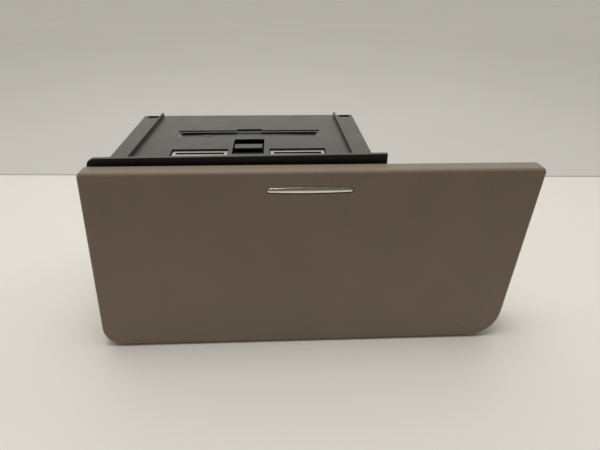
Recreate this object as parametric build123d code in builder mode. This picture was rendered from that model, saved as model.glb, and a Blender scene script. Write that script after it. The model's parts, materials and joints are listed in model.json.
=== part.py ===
from build123d import *

import os
from math import cos, pi, radians, sin, tan

# Push-to-open storage drawer for a vehicle dashboard: a moulded housing, a sliding bin with a
# leaning fascia, a push-push latch, a roll spring that opens the bin and a damper that slows it.
# Millimetres. +X is to the right, +Y runs from the fascia to the rear, +Z is up, z = 0 is the base.

os.makedirs("parts", exist_ok=True)

# ---------------------------------------------------------------- driving dimensions

# Fascia: a wedge-shaped shell, its front face leaning back from the bottom edge to the top edge.
FASCIA_TOP_Z = 103.6
FASCIA_BOTTOM_Z = 0.3
FASCIA_TOP_LEFT_X = -125.45
FASCIA_TOP_RIGHT_X = 127.0
FASCIA_BOTTOM_LEFT_X = -124.3
FASCIA_BOTTOM_RIGHT_X = 111.2
FASCIA_TOP_FRONT_Y = -48.55
FASCIA_REAR_Y = -38.85
FASCIA_LEAN = 8.65
FASCIA_TOP_LEFT_RADIUS = 2.7
FASCIA_TOP_RIGHT_RADIUS = 2.7
FASCIA_BOTTOM_RIGHT_RADIUS = 19.0
FASCIA_BOTTOM_LEFT_RADIUS = 11.0
FASCIA_EDGE_RADIUS = 2.4
FASCIA_WALL = 2.5
FASCIA_DEPTH_LIMIT = 40.0

# Housing: a rectangular sleeve with a flange around its open front.
HOUSING_CENTRE_X = -40.0
HOUSING_HALF_WIDTH = 75.05
HOUSING_HEIGHT = 103.0
HOUSING_REAR_Y = 62.5
WALL = 2.2
BLIND_HOLE_FLOOR = 0.4
FLANGE_FRONT_Y = -35.85
FLANGE_THICKNESS = 2.5
FLANGE_LEFT_X = -123.5
FLANGE_RIGHT_X = 40.9
FLANGE_TOP_LEFT_Z = 107.0
FLANGE_TOP_RIGHT_Z = 108.2
FLANGE_CORNER_RADIUS = 4.3
GUSSET_HEIGHTS = (28.0, 68.0)
GUSSET_REACH_X = 5.5
GUSSET_REACH_Y = 10.0
GUSSET_THICKNESS = 1.6

# Drawer travel, from the closed position.
OPEN_TRAVEL = 68.0
OVERPUSH_TRAVEL = 2.2
RUNNING_GAP = 0.3

# Base ears, for four screws into the dashboard frame.
MOUNT_SPACING_X = 160.0
MOUNT_SPACING_Y = 60.0
MOUNT_CENTRE_Y = 14.0
MOUNT_HOLE_RADIUS = 2.25
EAR_WIDTH = 11.5
EAR_OVERHANG = 9.6
EAR_LENGTH = 14.0
EAR_THICKNESS = 3.0
EAR_CORNER_RADIUS = 1.8

# Two rails along the housing's deck, which is its top wall. They spread toward the front, and each
# has its rear and its front offset from the housing's centre.
DECK_RAIL_OFFSETS = ((-61.9, -63.9), (61.7, 63.6))
DECK_RAIL_WIDTH = 1.1
DECK_RAIL_HEIGHT = 2.5
DECK_RAIL_END_RADIUS = 2.0

# Long pocket in the deck: a shallow ledge along its rear, and a deeper part that holds a leaf spring.
SLOT_X = -38.3
SLOT_HALF_LENGTH = 46.1
SLOT_FRONT_Y = 12.9
SLOT_REAR_Y = 23.3
SLOT_DEPTH = 2.2
SLOT_END_BEVEL = 2.0
LEDGE_REAR_Y = 26.4
LEDGE_DEPTH = 0.5
NOTCH_HALF_LENGTH = 8.2
NOTCH_REAR_Y = 28.8
NOTCH_DEPTH = 0.9
SLOT_FLOOR_THICKNESS = 1.3
SLOT_FLOOR_MARGIN = 1.5

# Opening in the deck with a flexible snap tongue, which is attached under the opening's front edge.
TONGUE_X = -37.4
TONGUE_HOLE_HALF_WIDTH = 9.3
TONGUE_HOLE_FRONT_Y = -19.2
TONGUE_HOLE_REAR_Y = 7.7
TONGUE_HALF_WIDTH = 8.3
TONGUE_ROOT_Y = -21.5
TONGUE_END_Y = -2.0
TONGUE_HOOK_Y = -9.3
TONGUE_HOOK_FOOT_Y = -5.5
TONGUE_UNDER_Z = 99.0
TONGUE_ARM_TOP_Z = 100.6
TONGUE_HOOK_UNDER_Z = 101.7
TONGUE_HOOK_TOP_Z = 103.1

# Two windows in the deck, each with a pale locator socket behind it.
WINDOW_X = -36.9
WINDOW_INNER = 12.15
WINDOW_OUTER = 45.35
WINDOW_FRONT_Y = -25.5
WINDOW_REAR_Y = -10.2
SOCKET_FLANGE = 1.2
SOCKET_FLANGE_THICKNESS = 1.3
SOCKET_SIDE_GAP = 0.35
SOCKET_TOP_BELOW_DECK = 1.2
SOCKET_EDGE_CHAMFER = 0.3
SOCKET_SLOT_INSET = 2.5
SOCKET_SLOT_FRONT_Y = -16.0
SOCKET_SLOT_REAR_Y = -12.9

# Holes in the deck's rear corners.
CORNER_HOLE_OFFSETS = (-68.4, 69.0)
CORNER_HOLE_WIDTH = 7.6
CORNER_HOLE_FRONT_Y = 57.0
CORNER_HOLE_REAR_Y = 62.0

# Drawer bin.
BIN_HALF_WIDTH = 66.55
BIN_WALL = 2.0
BIN_FRONT_WALL = 2.4
BIN_FLOOR = 2.4
BIN_REAR_Y = 52.0
BIN_TOP_Z = 98.0
BIN_FLOOR_Z = 17.0
BIN_SKIRT_Z = 4.3
BIN_CORNER_RADIUS = 4.0
MAT_THICKNESS = 1.5
MAT_EDGE_GAP = 0.5

# Guide rails on the housing and runner shoes on the bin.
RAIL_FRONT_Y = -33.3
RAIL_CAP_LENGTH = 3.0
RAIL_REAR_Y = 56.0
RAIL_WEB = 1.7
RAIL_FLANGE = 1.6
RAIL_BIN_GAP = 0.6
RAIL_SCREW_Y = (-20.0, 25.0)
RUNNER_Z = 52.2
RUNNER_HEIGHT = 7.8
RUNNER_LENGTH = 12.0
RUNNER_CORNER_RADIUS = 1.5
RUNNER_SCREW_LENGTH = 3.2

# Glides under the bin's skirts, at the housing's mouth.
GLIDE_FRONT_Y = -32.0
GLIDE_REAR_Y = -12.0
GLIDE_HALF_WIDTH = 2.0
GLIDE_CORNER_RADIUS = 1.5
GLIDE_PEG_Y = (-27.0, -17.0)
GLIDE_PEG_RADIUS = 1.4
GLIDE_PEG_LENGTH = 1.6

# Rear cover and its buffers.
COVER_THICKNESS = 2.0
COVER_EDGE_GAP = 0.1
COVER_BOSS_RADIUS = 2.7
COVER_BOSS_LENGTH = 13.0
COVER_BOSS_Z = (9.0, 86.0)
COVER_BOSS_FROM_WALL = 2.9
COVER_HOLE_DEPTH = 11.0
COVER_SCREW_LENGTH = 12.0
COVER_CUTAWAY_WIDTH = 9.5
COVER_CUTAWAY_Z = 93.0
COVER_RIB_HEIGHT = 1.2
COVER_RIB_THICKNESS = 1.4
COVER_RIB_SPACING = 22.0
COVER_RIB_COUNT = 5
COVER_RIB_BOTTOM_Z = 8.0
COVER_RIB_TOP_Z = 94.0
COVER_CROSS_RIB_HALF_LENGTH = 62.0
COVER_CROSS_RIB_Z = (20.0, 90.0)
BUFFER_OFFSET_X = 33.0
BUFFER_Z = 55.0
BUFFER_RADIUS = 5.0
BUFFER_LENGTH = 4.0
BUFFER_EDGE_RADIUS = 1.2
BUFFER_STEM_RADIUS = 2.0
BUFFER_BARB_RADIUS = 2.8
BUFFER_BARB_LENGTH = 1.0

# Screws: shank and head radii, each hole being a clearance larger than its shank.
SCREW_RADIUS = 1.25
SCREW_HEAD_RADIUS = 2.5
SCREW_HEAD_HEIGHT = 1.5
PAN_HEAD_TAPER = 0.75
SMALL_SCREW_RADIUS = 1.0
SMALL_SCREW_HEAD_RADIUS = 2.1
SMALL_SCREW_NARROW_HEAD_RADIUS = 1.6
SCREW_CLEARANCE = 0.1
SCREW_TIP_ROOM = 0.1
FLOOR_SCREW_LENGTH = 5.0
BRACKET_SCREW_GRIP = 1.7

# Damper: a rack under the bin's floor turns a pinion on the damper's body.
GEAR_MODULE = 1.0
PINION_TEETH = 12
DEDENDUM = 1.25
ADDENDUM = 0.9
PRESSURE_ANGLE = 20.0
TOOTH_THINNING = 0.32
TOOTH_OVERLAP = 0.5
PINION_TIP_HALF_THICKNESS = 0.32
PINION_ROOT_FLARE = 0.25
DAMPER_X = -81.0
DAMPER_Y = -22.0
DAMPER_RADIUS = 10.0
DAMPER_HEIGHT = 8.0
DAMPER_EDGE_RADIUS = 0.8
DAMPER_EAR_HALF_LENGTH = 14.5
DAMPER_EAR_WIDTH = 6.0
DAMPER_EAR_THICKNESS = 2.0
DAMPER_SCREW_OFFSET = 11.6
DAMPER_BORE_DEPTH = 4.2
PINION_BOTTOM_Z = 11.2
PINION_TOP_Z = 15.8
PINION_SHAFT_RADIUS = 1.5
PINION_SHAFT_LENGTH = 4.8
PINION_COLLAR_RADIUS = 2.5
PINION_COLLAR_LENGTH = 0.6
RACK_BOTTOM_Z = 11.2
RACK_FRONT_Y = -29.0
RACK_REAR_Y = 51.0
RACK_BACKING = 6.0
RACK_END_LAND = 1.0
RACK_SCREW_Y = (-20.0, 42.0)

# Roll spring: a steel strip that winds onto a bobbin as the drawer opens.
BOBBIN_X = -58.0
BOBBIN_Y = -27.0
BOBBIN_Z = 9.0
BOBBIN_FLANGE_RADIUS = 5.4
BOBBIN_FLANGE_THICKNESS = 1.0
BOBBIN_HUB_RADIUS = 3.3
BOBBIN_EAR_GAP = 0.4
AXLE_RADIUS = 1.25
AXLE_RUNNING_FIT = 0.05
AXLE_OVERRUN = 0.5
AXLE_HEAD_RADIUS = 1.9
AXLE_HEAD_LENGTH = 0.6
COIL_INNER_RADIUS = 3.5
COIL_OUTER_RADIUS = 4.7
STRIP_WIDTH = 6.0
STRIP_THICKNESS = 0.2
STRIP_SIDE_GAP = 0.2
STRIP_END_LENGTH = 2.5
STRIP_HOLE_RADIUS = 1.2
BRACKET_THICKNESS = 1.0
BRACKET_EAR_THICKNESS = 1.6
BRACKET_EAR_WIDTH = 5.2
BRACKET_FRONT_REACH = 4.0
BRACKET_REAR_Y = -11.0
BRACKET_SCREW_Y = -14.0
BRACKET_SCREW_OFFSET = 3.0
ANCHOR_Y = 48.5
ANCHOR_HALF_WIDTH = 4.0
ANCHOR_HALF_LENGTH = 3.5
ANCHOR_PEG_RADIUS = 1.0
ANCHOR_PEG_LENGTH = 2.2

# Latch: a heart-shaped cam under the bin and a wire follower on the housing's floor.
LATCH_X = -40.0
CAM_HALF_WIDTH = 11.0
CAM_FRONT_Y = 24.0
CAM_REAR_Y = 51.0
CAM_BOTTOM_Z = 12.0
CAM_CORNER_RADIUS = 2.0
CAM_GROOVE_DEPTH = 2.4
CAM_SCREW_OFFSET = 8.0
CAM_SCREW_Y = 26.8
HEART_LOBE_X = 3.2
HEART_LOBE_Y = 36.5
HEART_LOBE_RADIUS = 3.4
HEART_TIP_Y = 45.5
GROOVE_WIDTH = 2.4
GUIDE_TOOTH = ((-1.5, 29.7), (3.0, 29.7), (0.8, 31.2))
WIRE_RADIUS = 0.6
WIRE_BEND_RADIUS = 0.9
WIRE_PIVOT_Y = 53.0
WIRE_FOOT_Z = 4.2
WIRE_TIP_Y = 33.9
WIRE_TIP_Z = 13.8
WIRE_ARM_Z = 10.4
LATCH_BASE_HALF_WIDTH = 8.5
LATCH_BASE_HALF_LENGTH = 3.5
LATCH_BASE_THICKNESS = 1.6
LATCH_POST_HALF_WIDTH = 3.0
LATCH_POST_HEIGHT = 7.2
LATCH_CORNER_RADIUS = 1.0
LATCH_BORE_DEPTH = 5.6
LATCH_SCREW_OFFSET = 5.5

# Leaf spring in the deck's pocket, arched upward, with one rivet.
LEAF_HALF_LENGTH = 43.2
LEAF_EDGE_GAP = 0.2
LEAF_RISE = 0.4
LEAF_THICKNESS = 0.5
RIVET_OFFSET_X = -27.0
RIVET_RADIUS = 0.8
RIVET_HEAD_RADIUS = 1.7
RIVET_HEAD_HEIGHT = 0.6
RIVET_HEAD_EDGE_RADIUS = 0.5

# Trim strip on the fascia.
TRIM_X = -2.85
TRIM_DOWN_FACE = 10.5
TRIM_HALF_LENGTH = 23.35
TRIM_HALF_HEIGHT = 1.9
TRIM_END_HALF_HEIGHT = 1.4
TRIM_POCKET_DEPTH = 0.7
TRIM_POCKET_MARGIN = 0.3
TRIM_PROUD = 0.8
TRIM_CROWN = 0.6
TRIM_CROWN_TAPER = 45.0
TRIM_STUD_SPACING = 34.0
TRIM_STUD_RADIUS = 1.0
TRIM_STUD_LENGTH = 3.6
PUSH_NUT_RADIUS = 2.8
PUSH_NUT_THICKNESS = 0.6
PUSH_NUT_FIT = 0.05

# Carrier plate behind the fascia, its screw places as (x, z), and the bumpers that meet the flange.
CARRIER_EDGE_GAP = 0.15
FASCIA_SCREW_PLACES = [(-108, 20), (-108, 90), (0, 14), (0, 90), (96, 24), (110, 90)]
FASCIA_COLUMN_RADIUS = 3.2
FASCIA_HOLE_DEPTH = 5.5
FASCIA_SCREW_LENGTH = 7.5
BIN_SCREW_PLACES = [(-95, 30), (-95, 84), (15, 30), (15, 84)]
BIN_BOSS_RADIUS = 3.0
BIN_BOSS_LENGTH = 6.0
BIN_BOSS_HOLE_DEPTH = 5.2
BIN_SCREW_LENGTH = 9.5
BUMPER_PLACES = [(-118, 25), (-118, 93), (36.8, 25), (36.8, 93)]
BUMPER_HOLE_RADIUS = 1.3
BUMPER_RADIUS = 2.5
BUMPER_STEM_RADIUS = 1.2
BUMPER_STEM_LENGTH = 2.3

# ---------------------------------------------------------------- derived places

HOUSING_LEFT_X = HOUSING_CENTRE_X - HOUSING_HALF_WIDTH
HOUSING_RIGHT_X = HOUSING_CENTRE_X + HOUSING_HALF_WIDTH
INNER_HALF_WIDTH = HOUSING_HALF_WIDTH - WALL
DECK_UNDER_Z = HOUSING_HEIGHT - WALL
FLANGE_REAR_Y = FLANGE_FRONT_Y + FLANGE_THICKNESS
SLOT_FLOOR_Z = HOUSING_HEIGHT - SLOT_DEPTH
SLOT_MIDDLE_Y = (SLOT_FRONT_Y + SLOT_REAR_Y) / 2
SOCKET_TOP_Z = HOUSING_HEIGHT - SOCKET_TOP_BELOW_DECK
SOCKET_BOTTOM_Z = DECK_UNDER_Z - SOCKET_FLANGE_THICKNESS
BIN_INNER_HALF_WIDTH = BIN_HALF_WIDTH - BIN_WALL
BIN_INNER_FRONT_Y = FASCIA_REAR_Y + BIN_FRONT_WALL
BIN_INNER_REAR_Y = BIN_REAR_Y - BIN_WALL
BIN_INNER_MIDDLE_Y = (BIN_INNER_FRONT_Y + BIN_INNER_REAR_Y) / 2
BIN_INNER_FLOOR_Z = BIN_FLOOR_Z + BIN_FLOOR
CARRIER_FRONT_Y = FASCIA_REAR_Y - FASCIA_WALL
BUMPER_LENGTH = FLANGE_FRONT_Y - FASCIA_REAR_Y - OVERPUSH_TRAVEL - RUNNING_GAP
COVER_FRONT_Y = BIN_REAR_Y + OVERPUSH_TRAVEL + RUNNING_GAP + BUFFER_LENGTH
COVER_REAR_Y = COVER_FRONT_Y + COVER_THICKNESS
RAIL_INNER_HALF = BIN_HALF_WIDTH + RAIL_BIN_GAP
RAIL_HALF_OPENING = RUNNER_HEIGHT / 2 + RUNNING_GAP
RAIL_HALF_HEIGHT = RAIL_HALF_OPENING + RAIL_FLANGE
RAIL_WEB_HALF = INNER_HALF_WIDTH - RAIL_WEB
RUNNER_FRONT_Y = RAIL_FRONT_Y + RAIL_CAP_LENGTH + OPEN_TRAVEL + RUNNING_GAP
RUNNER_REAR_Y = RUNNER_FRONT_Y + RUNNER_LENGTH
RUNNER_Y = (RUNNER_FRONT_Y + RUNNER_REAR_Y) / 2
SKIRT_HALF = BIN_HALF_WIDTH - BIN_WALL / 2
PITCH_RADIUS = GEAR_MODULE * PINION_TEETH / 2
TOOTH_PITCH = pi * GEAR_MODULE
PITCH_HALF_THICKNESS = TOOTH_PITCH / 4 - TOOTH_THINNING / 2
RACK_PITCH_X = DAMPER_X - PITCH_RADIUS
RACK_ROOT_X = RACK_PITCH_X - DEDENDUM * GEAR_MODULE
RACK_TIP_X = RACK_PITCH_X + ADDENDUM * GEAR_MODULE
RACK_SCREW_X = RACK_ROOT_X - RACK_BACKING / 2
BOBBIN_HALF_WIDTH = STRIP_WIDTH / 2 + STRIP_SIDE_GAP
BRACKET_EAR_INNER = BOBBIN_HALF_WIDTH + BOBBIN_FLANGE_THICKNESS + BOBBIN_EAR_GAP
BRACKET_EAR_OUTER = BRACKET_EAR_INNER + BRACKET_EAR_THICKNESS
STRIP_TOP_Z = BOBBIN_Z + COIL_OUTER_RADIUS
ANCHOR_BOTTOM_Z = STRIP_TOP_Z + RUNNING_GAP
FLOOR_HOLE_DEPTH = FLOOR_SCREW_LENGTH - BIN_FLOOR + SCREW_TIP_ROOM

LEAN_SIN = sin(radians(FASCIA_LEAN))
LEAN_COS = cos(radians(FASCIA_LEAN))
FACE_NORMAL = Vector(0, -LEAN_COS, LEAN_SIN)
FACE_PLANE = Plane(origin=(0, FASCIA_TOP_FRONT_Y, FASCIA_TOP_Z), x_dir=(1, 0, 0), z_dir=FACE_NORMAL)
TRIM_PLANE = Plane(
    origin=(
        TRIM_X,
        FASCIA_TOP_FRONT_Y - TRIM_DOWN_FACE * LEAN_SIN,
        FASCIA_TOP_Z - TRIM_DOWN_FACE * LEAN_COS,
    ),
    x_dir=(1, 0, 0),
    z_dir=FACE_NORMAL,
)

UP = (0, 0, 1)
FORWARD = (0, -1, 0)
REARWARD = (0, 1, 0)
RIGHTWARD = (1, 0, 0)

MOUNT_HOLES = [
    (HOUSING_CENTRE_X + side * MOUNT_SPACING_X / 2, MOUNT_CENTRE_Y + end * MOUNT_SPACING_Y / 2)
    for side in (-1, 1)
    for end in (-1, 1)
]
COVER_SCREW_PLACES = [
    (HOUSING_CENTRE_X + side * (INNER_HALF_WIDTH - COVER_BOSS_FROM_WALL), z)
    for side in (-1, 1)
    for z in COVER_BOSS_Z
]
BUFFER_PLACES = [(HOUSING_CENTRE_X + side * BUFFER_OFFSET_X, BUFFER_Z) for side in (-1, 1)]
DAMPER_SCREWS = [(DAMPER_X + side * DAMPER_SCREW_OFFSET, DAMPER_Y) for side in (-1, 1)]
BRACKET_SCREWS = [(BOBBIN_X + side * BRACKET_SCREW_OFFSET, BRACKET_SCREW_Y) for side in (-1, 1)]
LATCH_SCREWS = [(LATCH_X + side * LATCH_SCREW_OFFSET, WIRE_PIVOT_Y) for side in (-1, 1)]
RACK_SCREWS = [(RACK_SCREW_X, y) for y in RACK_SCREW_Y]
CAM_SCREWS = [(LATCH_X + side * CAM_SCREW_OFFSET, CAM_SCREW_Y) for side in (-1, 1)]
ANCHOR_SCREWS = [(BOBBIN_X, ANCHOR_Y)]
FLOOR_SCREWS = RACK_SCREWS + CAM_SCREWS + ANCHOR_SCREWS
HEART_LOBES = [(LATCH_X + side * HEART_LOBE_X, HEART_LOBE_Y) for side in (-1, 1)]
RIVET_X = SLOT_X + RIVET_OFFSET_X

# ---------------------------------------------------------------- helpers


def block(corner, opposite, mode=Mode.ADD):
    """An upright box between two opposite corners."""
    centre = tuple((a + b) / 2 for a, b in zip(corner, opposite))
    size = [abs(b - a) for a, b in zip(corner, opposite)]
    with Locations(centre):
        Box(*size, mode=mode)


def planes_at(points, normal):
    """One plane at each point, all facing the same way."""
    return [Plane(origin=point, z_dir=normal) for point in points]


def rods(planes, radius, length, mode=Mode.ADD):
    """Round rods or holes that start on the planes and run along their normals, or back if negative."""
    start = Align.MIN if length > 0 else Align.MAX
    with Locations(planes):
        Cylinder(radius, abs(length), align=(Align.CENTER, Align.CENTER, start), mode=mode)


def cross_recesses(planes, head_radius):
    """Cross-shaped driver recesses sunk into screw heads whose tops lie on the planes."""
    with Locations(planes):
        for size in ((head_radius, head_radius / 4), (head_radius / 4, head_radius)):
            Box(*size, SCREW_HEAD_HEIGHT, mode=Mode.SUBTRACT)


def pan_screws(planes, radius, head_radius, length):
    """Pan-head screws, each plane lying under a head and facing out of it."""
    upright = (Align.CENTER, Align.CENTER, Align.MIN)
    with Locations(planes):
        Cone(head_radius, head_radius * PAN_HEAD_TAPER, SCREW_HEAD_HEIGHT, align=upright)
    cross_recesses([plane.offset(SCREW_HEAD_HEIGHT) for plane in planes], head_radius)
    rods(planes, radius, -length)


def countersunk_screws(planes, radius, head_radius, length):
    """Countersunk screws, each plane being flush with a head and facing out of it."""
    with Locations(planes):
        Cone(radius, head_radius, head_radius - radius, align=(Align.CENTER, Align.CENTER, Align.MAX))
    rods(planes, radius, -length)
    cross_recesses(planes, head_radius)


def countersunk_holes(planes, radius, head_radius, depth):
    """Countersunk through holes for the screws above, each plane being the surface that they enter."""
    with Locations(planes):
        CounterSinkHole(
            radius + SCREW_CLEARANCE,
            head_radius + SCREW_CLEARANCE,
            depth=depth,
            counter_sink_angle=90,
        )


def fascia_outline(inset):
    """The fascia's outline in the XZ plane, moved inward by an inset."""
    slope = (FASCIA_TOP_RIGHT_X - FASCIA_BOTTOM_RIGHT_X) / (FASCIA_TOP_Z - FASCIA_BOTTOM_Z)
    top = FASCIA_TOP_Z - inset
    bottom = FASCIA_BOTTOM_Z + inset
    corners = [
        ((FASCIA_TOP_LEFT_X + inset, top), FASCIA_TOP_LEFT_RADIUS),
        ((FASCIA_TOP_RIGHT_X - inset - slope * inset, top), FASCIA_TOP_RIGHT_RADIUS),
        ((FASCIA_BOTTOM_RIGHT_X - inset + slope * inset, bottom), FASCIA_BOTTOM_RIGHT_RADIUS),
        ((FASCIA_BOTTOM_LEFT_X + inset, bottom), FASCIA_BOTTOM_LEFT_RADIUS),
    ]
    with BuildSketch() as outline:
        with BuildLine():
            FilletPolyline(
                *[point for point, radius in corners],
                radius=[radius - inset for point, radius in corners],
                close=True,
            )
        make_face()
    return outline.sketch


def trim_outline(margin):
    """The trim strip's outline, a slim bar with bowed edges and round ends, grown by a margin."""
    end_x = TRIM_HALF_LENGTH - TRIM_END_HALF_HEIGHT
    end_z = TRIM_END_HALF_HEIGHT + margin
    half_height = TRIM_HALF_HEIGHT + margin
    tip = TRIM_HALF_LENGTH + margin
    with BuildSketch() as outline:
        with BuildLine():
            ThreePointArc((-end_x, end_z), (0, half_height), (end_x, end_z))
            ThreePointArc((end_x, end_z), (tip, 0), (end_x, -end_z))
            ThreePointArc((end_x, -end_z), (0, -half_height), (-end_x, -end_z))
            ThreePointArc((-end_x, -end_z), (-tip, 0), (-end_x, end_z))
        make_face()
    return outline.sketch


def tooth(root, root_half, pitch, pitch_half, tip, tip_half):
    """The corners of one gear tooth that points along +X, with its foot sunk into the gear's body."""
    upper = [(root - TOOTH_OVERLAP, root_half), (root, root_half), (pitch, pitch_half), (tip, tip_half)]
    return upper + [(x, -y) for x, y in reversed(upper)]


# ---------------------------------------------------------------- housing

with BuildPart() as housing_shell:
    block((HOUSING_LEFT_X, FLANGE_REAR_Y, 0), (HOUSING_RIGHT_X, HOUSING_REAR_Y, HOUSING_HEIGHT))
    # Flange, rounded at its upper left corner only.
    with BuildSketch(Plane.XZ.offset(-FLANGE_REAR_Y)) as flange:
        Polygon(
            (FLANGE_LEFT_X, 0),
            (FLANGE_RIGHT_X, 0),
            (FLANGE_RIGHT_X, FLANGE_TOP_RIGHT_Z),
            (FLANGE_LEFT_X, FLANGE_TOP_LEFT_Z),
            align=None,
        )
        upper_left = flange.vertices().sort_by(Axis.X)[:2].sort_by(Axis.Y)[-1]
        fillet(upper_left, FLANGE_CORNER_RADIUS)
    extrude(amount=FLANGE_THICKNESS)
    # Through cavity for the bin.
    block(
        (HOUSING_CENTRE_X - INNER_HALF_WIDTH, FLANGE_FRONT_Y, WALL),
        (HOUSING_CENTRE_X + INNER_HALF_WIDTH, HOUSING_REAR_Y, DECK_UNDER_Z),
        mode=Mode.SUBTRACT,
    )
    # Two upstanding rails along the deck, with rounded rear ends.
    with BuildSketch(Plane.XY.offset(HOUSING_HEIGHT)):
        for rear_offset, front_offset in DECK_RAIL_OFFSETS:
            rear_x = HOUSING_CENTRE_X + rear_offset
            front_x = HOUSING_CENTRE_X + front_offset
            Polygon(
                (rear_x - DECK_RAIL_WIDTH / 2, HOUSING_REAR_Y),
                (front_x - DECK_RAIL_WIDTH / 2, FLANGE_REAR_Y),
                (front_x + DECK_RAIL_WIDTH / 2, FLANGE_REAR_Y),
                (rear_x + DECK_RAIL_WIDTH / 2, HOUSING_REAR_Y),
                align=None,
            )
    extrude(amount=DECK_RAIL_HEIGHT)
    rail_top_edges = housing_shell.edges().filter_by(Axis.X).group_by(Axis.Z)[-1]
    fillet(rail_top_edges.group_by(Axis.Y)[-1], DECK_RAIL_END_RADIUS)
    # Long pocket with bevelled ends, over a local thickening of the deck.
    block(
        (SLOT_X - SLOT_HALF_LENGTH, SLOT_FRONT_Y - SLOT_FLOOR_MARGIN, SLOT_FLOOR_Z - SLOT_FLOOR_THICKNESS),
        (SLOT_X + SLOT_HALF_LENGTH, SLOT_REAR_Y + SLOT_FLOOR_MARGIN, DECK_UNDER_Z),
    )
    slot_foot = SLOT_HALF_LENGTH - SLOT_END_BEVEL
    with BuildSketch(Plane.XZ.offset(-SLOT_REAR_Y)):
        Polygon(
            (SLOT_X - SLOT_HALF_LENGTH, HOUSING_HEIGHT),
            (SLOT_X + SLOT_HALF_LENGTH, HOUSING_HEIGHT),
            (SLOT_X + slot_foot, HOUSING_HEIGHT - SLOT_END_BEVEL),
            (SLOT_X + slot_foot, SLOT_FLOOR_Z),
            (SLOT_X - slot_foot, SLOT_FLOOR_Z),
            (SLOT_X - slot_foot, HOUSING_HEIGHT - SLOT_END_BEVEL),
            align=None,
        )
    extrude(amount=SLOT_REAR_Y - SLOT_FRONT_Y, mode=Mode.SUBTRACT)
    # Shallow ledge behind the pocket, and a slightly deeper notch at its middle.
    block(
        (SLOT_X - SLOT_HALF_LENGTH, SLOT_REAR_Y, HOUSING_HEIGHT - LEDGE_DEPTH),
        (SLOT_X + SLOT_HALF_LENGTH, LEDGE_REAR_Y, HOUSING_HEIGHT),
        mode=Mode.SUBTRACT,
    )
    block(
        (SLOT_X - NOTCH_HALF_LENGTH, SLOT_REAR_Y, HOUSING_HEIGHT - NOTCH_DEPTH),
        (SLOT_X + NOTCH_HALF_LENGTH, NOTCH_REAR_Y, HOUSING_HEIGHT),
        mode=Mode.SUBTRACT,
    )
    # Two windows for the locator sockets.
    for side in (-1, 1):
        block(
            (WINDOW_X + side * WINDOW_INNER, WINDOW_FRONT_Y, DECK_UNDER_Z),
            (WINDOW_X + side * WINDOW_OUTER, WINDOW_REAR_Y, HOUSING_HEIGHT),
            mode=Mode.SUBTRACT,
        )
    # Snap tongue, whose hooked end stands level with the deck.
    block(
        (TONGUE_X - TONGUE_HOLE_HALF_WIDTH, TONGUE_HOLE_FRONT_Y, DECK_UNDER_Z),
        (TONGUE_X + TONGUE_HOLE_HALF_WIDTH, TONGUE_HOLE_REAR_Y, HOUSING_HEIGHT),
        mode=Mode.SUBTRACT,
    )
    with BuildSketch(Plane.YZ.offset(TONGUE_X - TONGUE_HALF_WIDTH)):
        Polygon(
            (TONGUE_ROOT_Y, TONGUE_UNDER_Z),
            (TONGUE_END_Y, TONGUE_UNDER_Z),
            (TONGUE_END_Y, TONGUE_HOOK_TOP_Z),
            (TONGUE_HOOK_Y, TONGUE_HOOK_TOP_Z),
            (TONGUE_HOOK_Y, TONGUE_HOOK_UNDER_Z),
            (TONGUE_HOOK_FOOT_Y, TONGUE_ARM_TOP_Z),
            (TONGUE_HOLE_FRONT_Y, TONGUE_ARM_TOP_Z),
            (TONGUE_HOLE_FRONT_Y, DECK_UNDER_Z),
            (TONGUE_ROOT_Y, DECK_UNDER_Z),
            align=None,
        )
    extrude(amount=2 * TONGUE_HALF_WIDTH)
    # Rear corner holes.
    for offset in CORNER_HOLE_OFFSETS:
        hole_x = HOUSING_CENTRE_X + offset
        block(
            (hole_x - CORNER_HOLE_WIDTH / 2, CORNER_HOLE_FRONT_Y, DECK_UNDER_Z),
            (hole_x + CORNER_HOLE_WIDTH / 2, CORNER_HOLE_REAR_Y, HOUSING_HEIGHT),
            mode=Mode.SUBTRACT,
        )
    # Base ears.
    for x, y in MOUNT_HOLES:
        side = -1 if x < HOUSING_CENTRE_X else 1
        ear_x = HOUSING_CENTRE_X + side * (HOUSING_HALF_WIDTH + EAR_OVERHANG - EAR_WIDTH / 2)
        with BuildSketch(Plane.XY):
            with Locations((ear_x, y)):
                RectangleRounded(EAR_WIDTH, EAR_LENGTH, EAR_CORNER_RADIUS)
        extrude(amount=EAR_THICKNESS)
    rods(planes_at([(x, y, 0) for x, y in MOUNT_HOLES], UP), MOUNT_HOLE_RADIUS, EAR_THICKNESS, Mode.SUBTRACT)
    # Gussets behind the flange.
    for z in GUSSET_HEIGHTS:
        for side in (-1, 1):
            side_x = HOUSING_CENTRE_X + side * HOUSING_HALF_WIDTH
            wall_x = side_x - side * WALL / 2
            with BuildSketch(Plane.XY.offset(z)):
                Polygon(
                    (wall_x, FLANGE_REAR_Y),
                    (side_x + side * GUSSET_REACH_X, FLANGE_REAR_Y),
                    (wall_x, FLANGE_REAR_Y + GUSSET_REACH_Y),
                    align=None,
                )
            extrude(amount=GUSSET_THICKNESS)
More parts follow.
